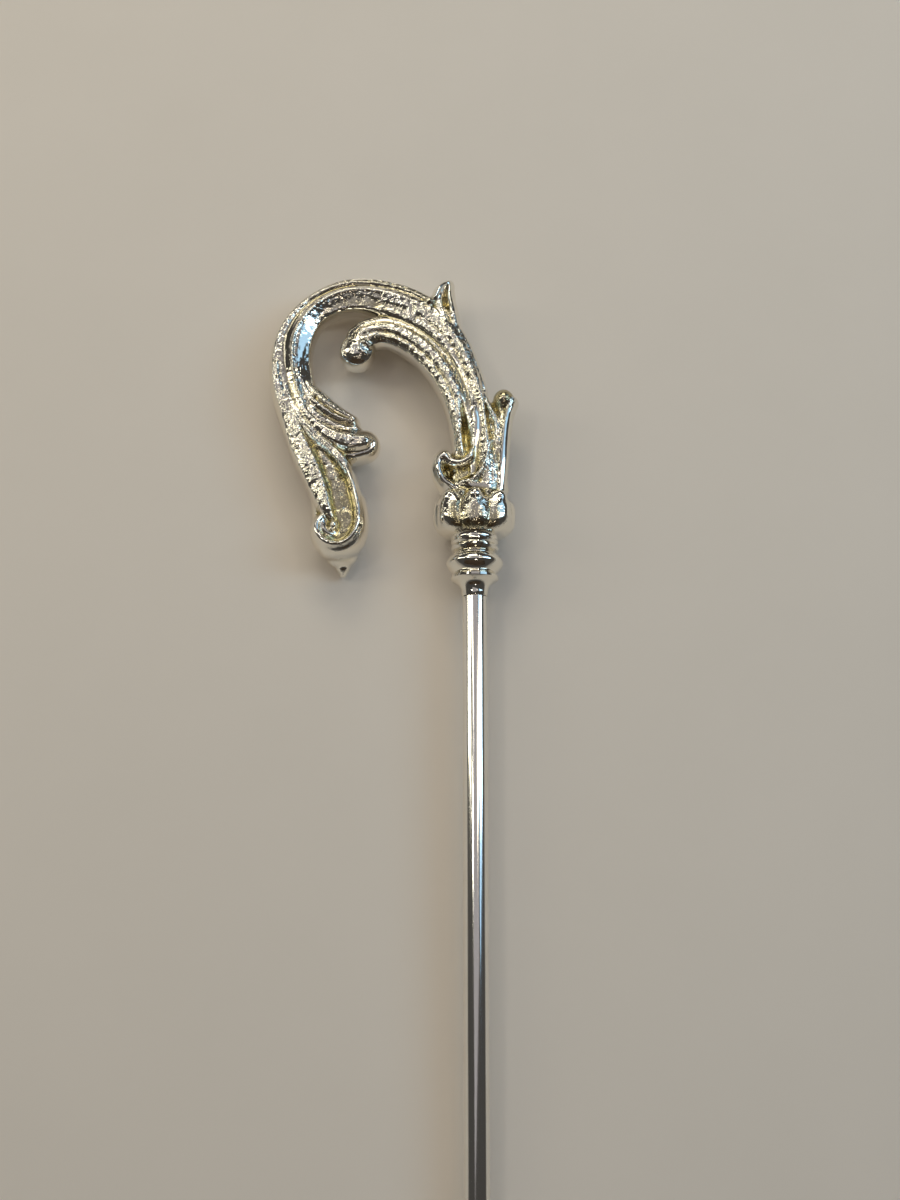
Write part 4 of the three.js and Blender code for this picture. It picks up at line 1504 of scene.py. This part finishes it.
@dataclass
class Studio:
    """The floor, lights, dark cards and camera.

    Attributes:
        frame: Where the drawing lies.
        floor_size: The floor's width, in metres.
        world: The colour of the room overhead.
        wall_foot: The colour of the room near the floor.
        wall_top: How high that colour reaches, as the sine of its angle above the floor.
        wall_fade: How far above that it has faded.
        heart: The point of the drawing that the lights face.
        reach: How far from it they hang, in millimetres.
        aim: The point of the drawing that the camera faces.
        distance: How far from it the camera is, in millimetres.
        tilt: How far the camera leans towards the foot, in degrees.
        lens: The camera's focal length, in millimetres.
        sensor: The height of its sensor, in millimetres.
        softboxes: The lights.
        flags: The dark cards.
    """

    frame: StaffFrame
    floor_size: float = 1.6
    world: tuple[float, float, float] = (0.055, 0.052, 0.049)
    wall_foot: tuple[float, float, float] = (0.34, 0.32, 0.28)
    wall_top: float = 0.03
    wall_fade: float = 0.16
    heart: tuple[float, float, float] = (-9, 22, 0)
    reach: float = 500
    aim: tuple[float, float, float] = (-3.07, -0.39, 0)
    distance: float = 210.6
    tilt: float = 14.49
    lens: float = 51
    sensor: float = 36
    softboxes: tuple[Softbox, ...] = (
        Softbox("window", (0.72, 0.25, 0.65), (300, 260), 1.1, (0.42, 0.7, 1.0)),
        Softbox("window_core", (0.83, 0.12, 0.55), (90, 200), 3.7, (0.6, 0.82, 1.0)),
        Softbox("lamp_row", (-0.2, 0.6, 0.77), (460, 70), 2.1, (1.0, 0.97, 0.87)),
        Softbox("ceiling", (0.02, 0.16, 0.98), (460, 360), 0.3, (1.0, 0.95, 1.0)),
        Softbox("top_light", (-0.12, 0.8, 0.6), (260, 110), 4.5, (1.0, 0.95, 0.78)),
        Softbox("left_light", (-0.8, 0.15, 0.55), (80, 260), 4.3, (1.0, 0.96, 0.8)),
        Softbox("inner_left", (-0.45, 0.2, 0.87), (36, 260), 2.3, (1.0, 0.97, 0.87)),
        Softbox("right_light", (0.5, 0.1, 0.86), (60, 260), 2.6, (1.0, 0.92, 0.76)),
        Softbox("spark_right", (0.3, 0.66, 0.7), (40, 40), 16, (1.0, 0.97, 0.9)),
        Softbox("spark_left", (-0.42, 0.02, 0.9), (34, 50), 16, (1.0, 0.96, 0.84)),
        Softbox("spark_near", (0.1, -0.55, 0.83), (60, 25), 9, (1.0, 0.88, 0.74)),
    )
    flags: tuple[Flag, ...] = (
        Flag("dark_near", (0.0, -0.8, 0.6), (700, 260)),
    )

    def build(self) -> None:
        """Builds the whole studio."""
        self.add_world()
        self.add_floor()
        self.add_camera()
        for box in self.softboxes:
            self.add_softbox(box)
        for flag in self.flags:
            self.add_flag(flag)

    def add_world(self) -> None:
        """Fills the room with dim light, paler towards the floor."""
        world = bpy.data.worlds.new("studio room")
        world.use_nodes = True
        tree = NodeTree(world.node_tree)
        towards = tree.node("ShaderNodeTexCoord").outputs["Generated"]
        height = tree.node("ShaderNodeSeparateXYZ", inputs={"Vector": towards}).outputs["Z"]
        stops = ((0, self.wall_foot), (self.wall_top, self.wall_foot),
                 (self.wall_top + self.wall_fade, self.world))
        walls = tree.node("ShaderNodeValToRGB", {"stops": stops}, {"Fac": height})
        backdrop = tree.node("ShaderNodeBackground", inputs={"Color": walls.outputs["Color"]})
        tree.node("ShaderNodeOutputWorld", inputs={"Surface": backdrop.outputs[0]})
        bpy.context.scene.world = world

    def add_floor(self) -> None:
        """Lays the floor that the crosier lies on."""
        reach = self.floor_size / 2
        mesh = bpy.data.meshes.new("studio_floor")
        corners = [(-reach, -reach, 0), (reach, -reach, 0), (reach, reach, 0), (-reach, reach, 0)]
        mesh.from_pydata(corners, [], [(0, 1, 2, 3)])
        mesh.materials.append(StudioFloor().material())
        floor = bpy.data.objects.new("studio_floor", mesh)
        bpy.context.scene.collection.objects.link(floor)

    def facing(self, towards: Sequence[float]) -> Matrix:
        """Returns the matrix of a thing that hangs that way and faces the crook."""
        heart = self.frame.place(self.heart)
        place = self.frame.place(Vector(self.heart) + Vector(towards).normalized() * self.reach)
        turn = (heart - place).to_track_quat("-Z", "Y").to_matrix().to_4x4()
        return Matrix.Translation(place) @ turn

    def add_softbox(self, box: Softbox) -> None:
        """Hangs one softbox."""
        lamp = bpy.data.lights.new(box.name, "AREA")
        lamp.shape = "RECTANGLE"
        lamp.size, lamp.size_y = box.size[0] * MM, box.size[1] * MM
        lamp.energy = box.glow * math.pi * lamp.size * lamp.size_y
        lamp.color = box.colour
        holder = bpy.data.objects.new(box.name, lamp)
        holder.matrix_world = self.facing(box.towards)
        bpy.context.scene.collection.objects.link(holder)

    def add_flag(self, flag: Flag) -> None:
        """Hangs one dark card, seen only in reflections."""
        x, y = flag.size[0] * MM / 2, flag.size[1] * MM / 2
        mesh = bpy.data.meshes.new(flag.name)
        mesh.from_pydata([(-x, -y, 0), (x, -y, 0), (x, y, 0), (-x, y, 0)], [], [(0, 1, 2, 3)])
        mesh.transform(self.facing(flag.towards))
        tree = ShaderTree(flag.name)
        mesh.materials.append(tree.finish({"Base Color": (*flag.colour, 1), "Roughness": 1.0}))
        card = bpy.data.objects.new(flag.name, mesh)
        card.visible_camera = False
        card.visible_shadow = False
        card.visible_diffuse = False
        bpy.context.scene.collection.objects.link(card)

    def add_camera(self) -> None:
        """Sets the camera over the head, tilted back towards the foot."""
        lens = bpy.data.cameras.new("camera")
        lens.lens = self.lens
        lens.sensor_fit = "VERTICAL"
        lens.sensor_height = self.sensor
        lens.clip_start = 0.01
        tilt = math.radians(self.tilt)
        back = Vector((0, -math.sin(tilt), math.cos(tilt)))
        up = Vector((0, math.cos(tilt), math.sin(tilt)))
        turn = Matrix((Vector((1, 0, 0)), up, back)).transposed().to_4x4()
        place = Matrix.Translation(Vector(self.aim) + back * self.distance)
        holder = bpy.data.objects.new("camera", lens)
        holder.matrix_world = self.frame.matrix @ place @ turn
        holder.scale = (1, 1, 1)
        bpy.context.scene.collection.objects.link(holder)
        bpy.context.scene.camera = holder


# --------------------------------------------------------------------- main


def main() -> None:
    """Builds the crosier and its studio."""
    logging.basicConfig(level=logging.INFO, format="%(name)s: %(message)s")
    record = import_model()["record"]
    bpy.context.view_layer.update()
    frame = StaffFrame.from_pack(record, Collar().neck_radius)

    head = CrookHead(frame).build()
    rod = StaffRod(frame).build()
    for piece, node, slot in ((head, HEAD_NODE, Slot.CAST), (rod, ROD_NODE, Slot.DRAWN)):
        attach(piece, BODY)
        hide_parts(node)
        LOG.info("%s: %d faces", piece.name, len(piece.data.polygons))

    Studio(frame).build()
    bpy.context.scene.view_settings.view_transform = "Standard"


if __name__ == "__main__":
    main()
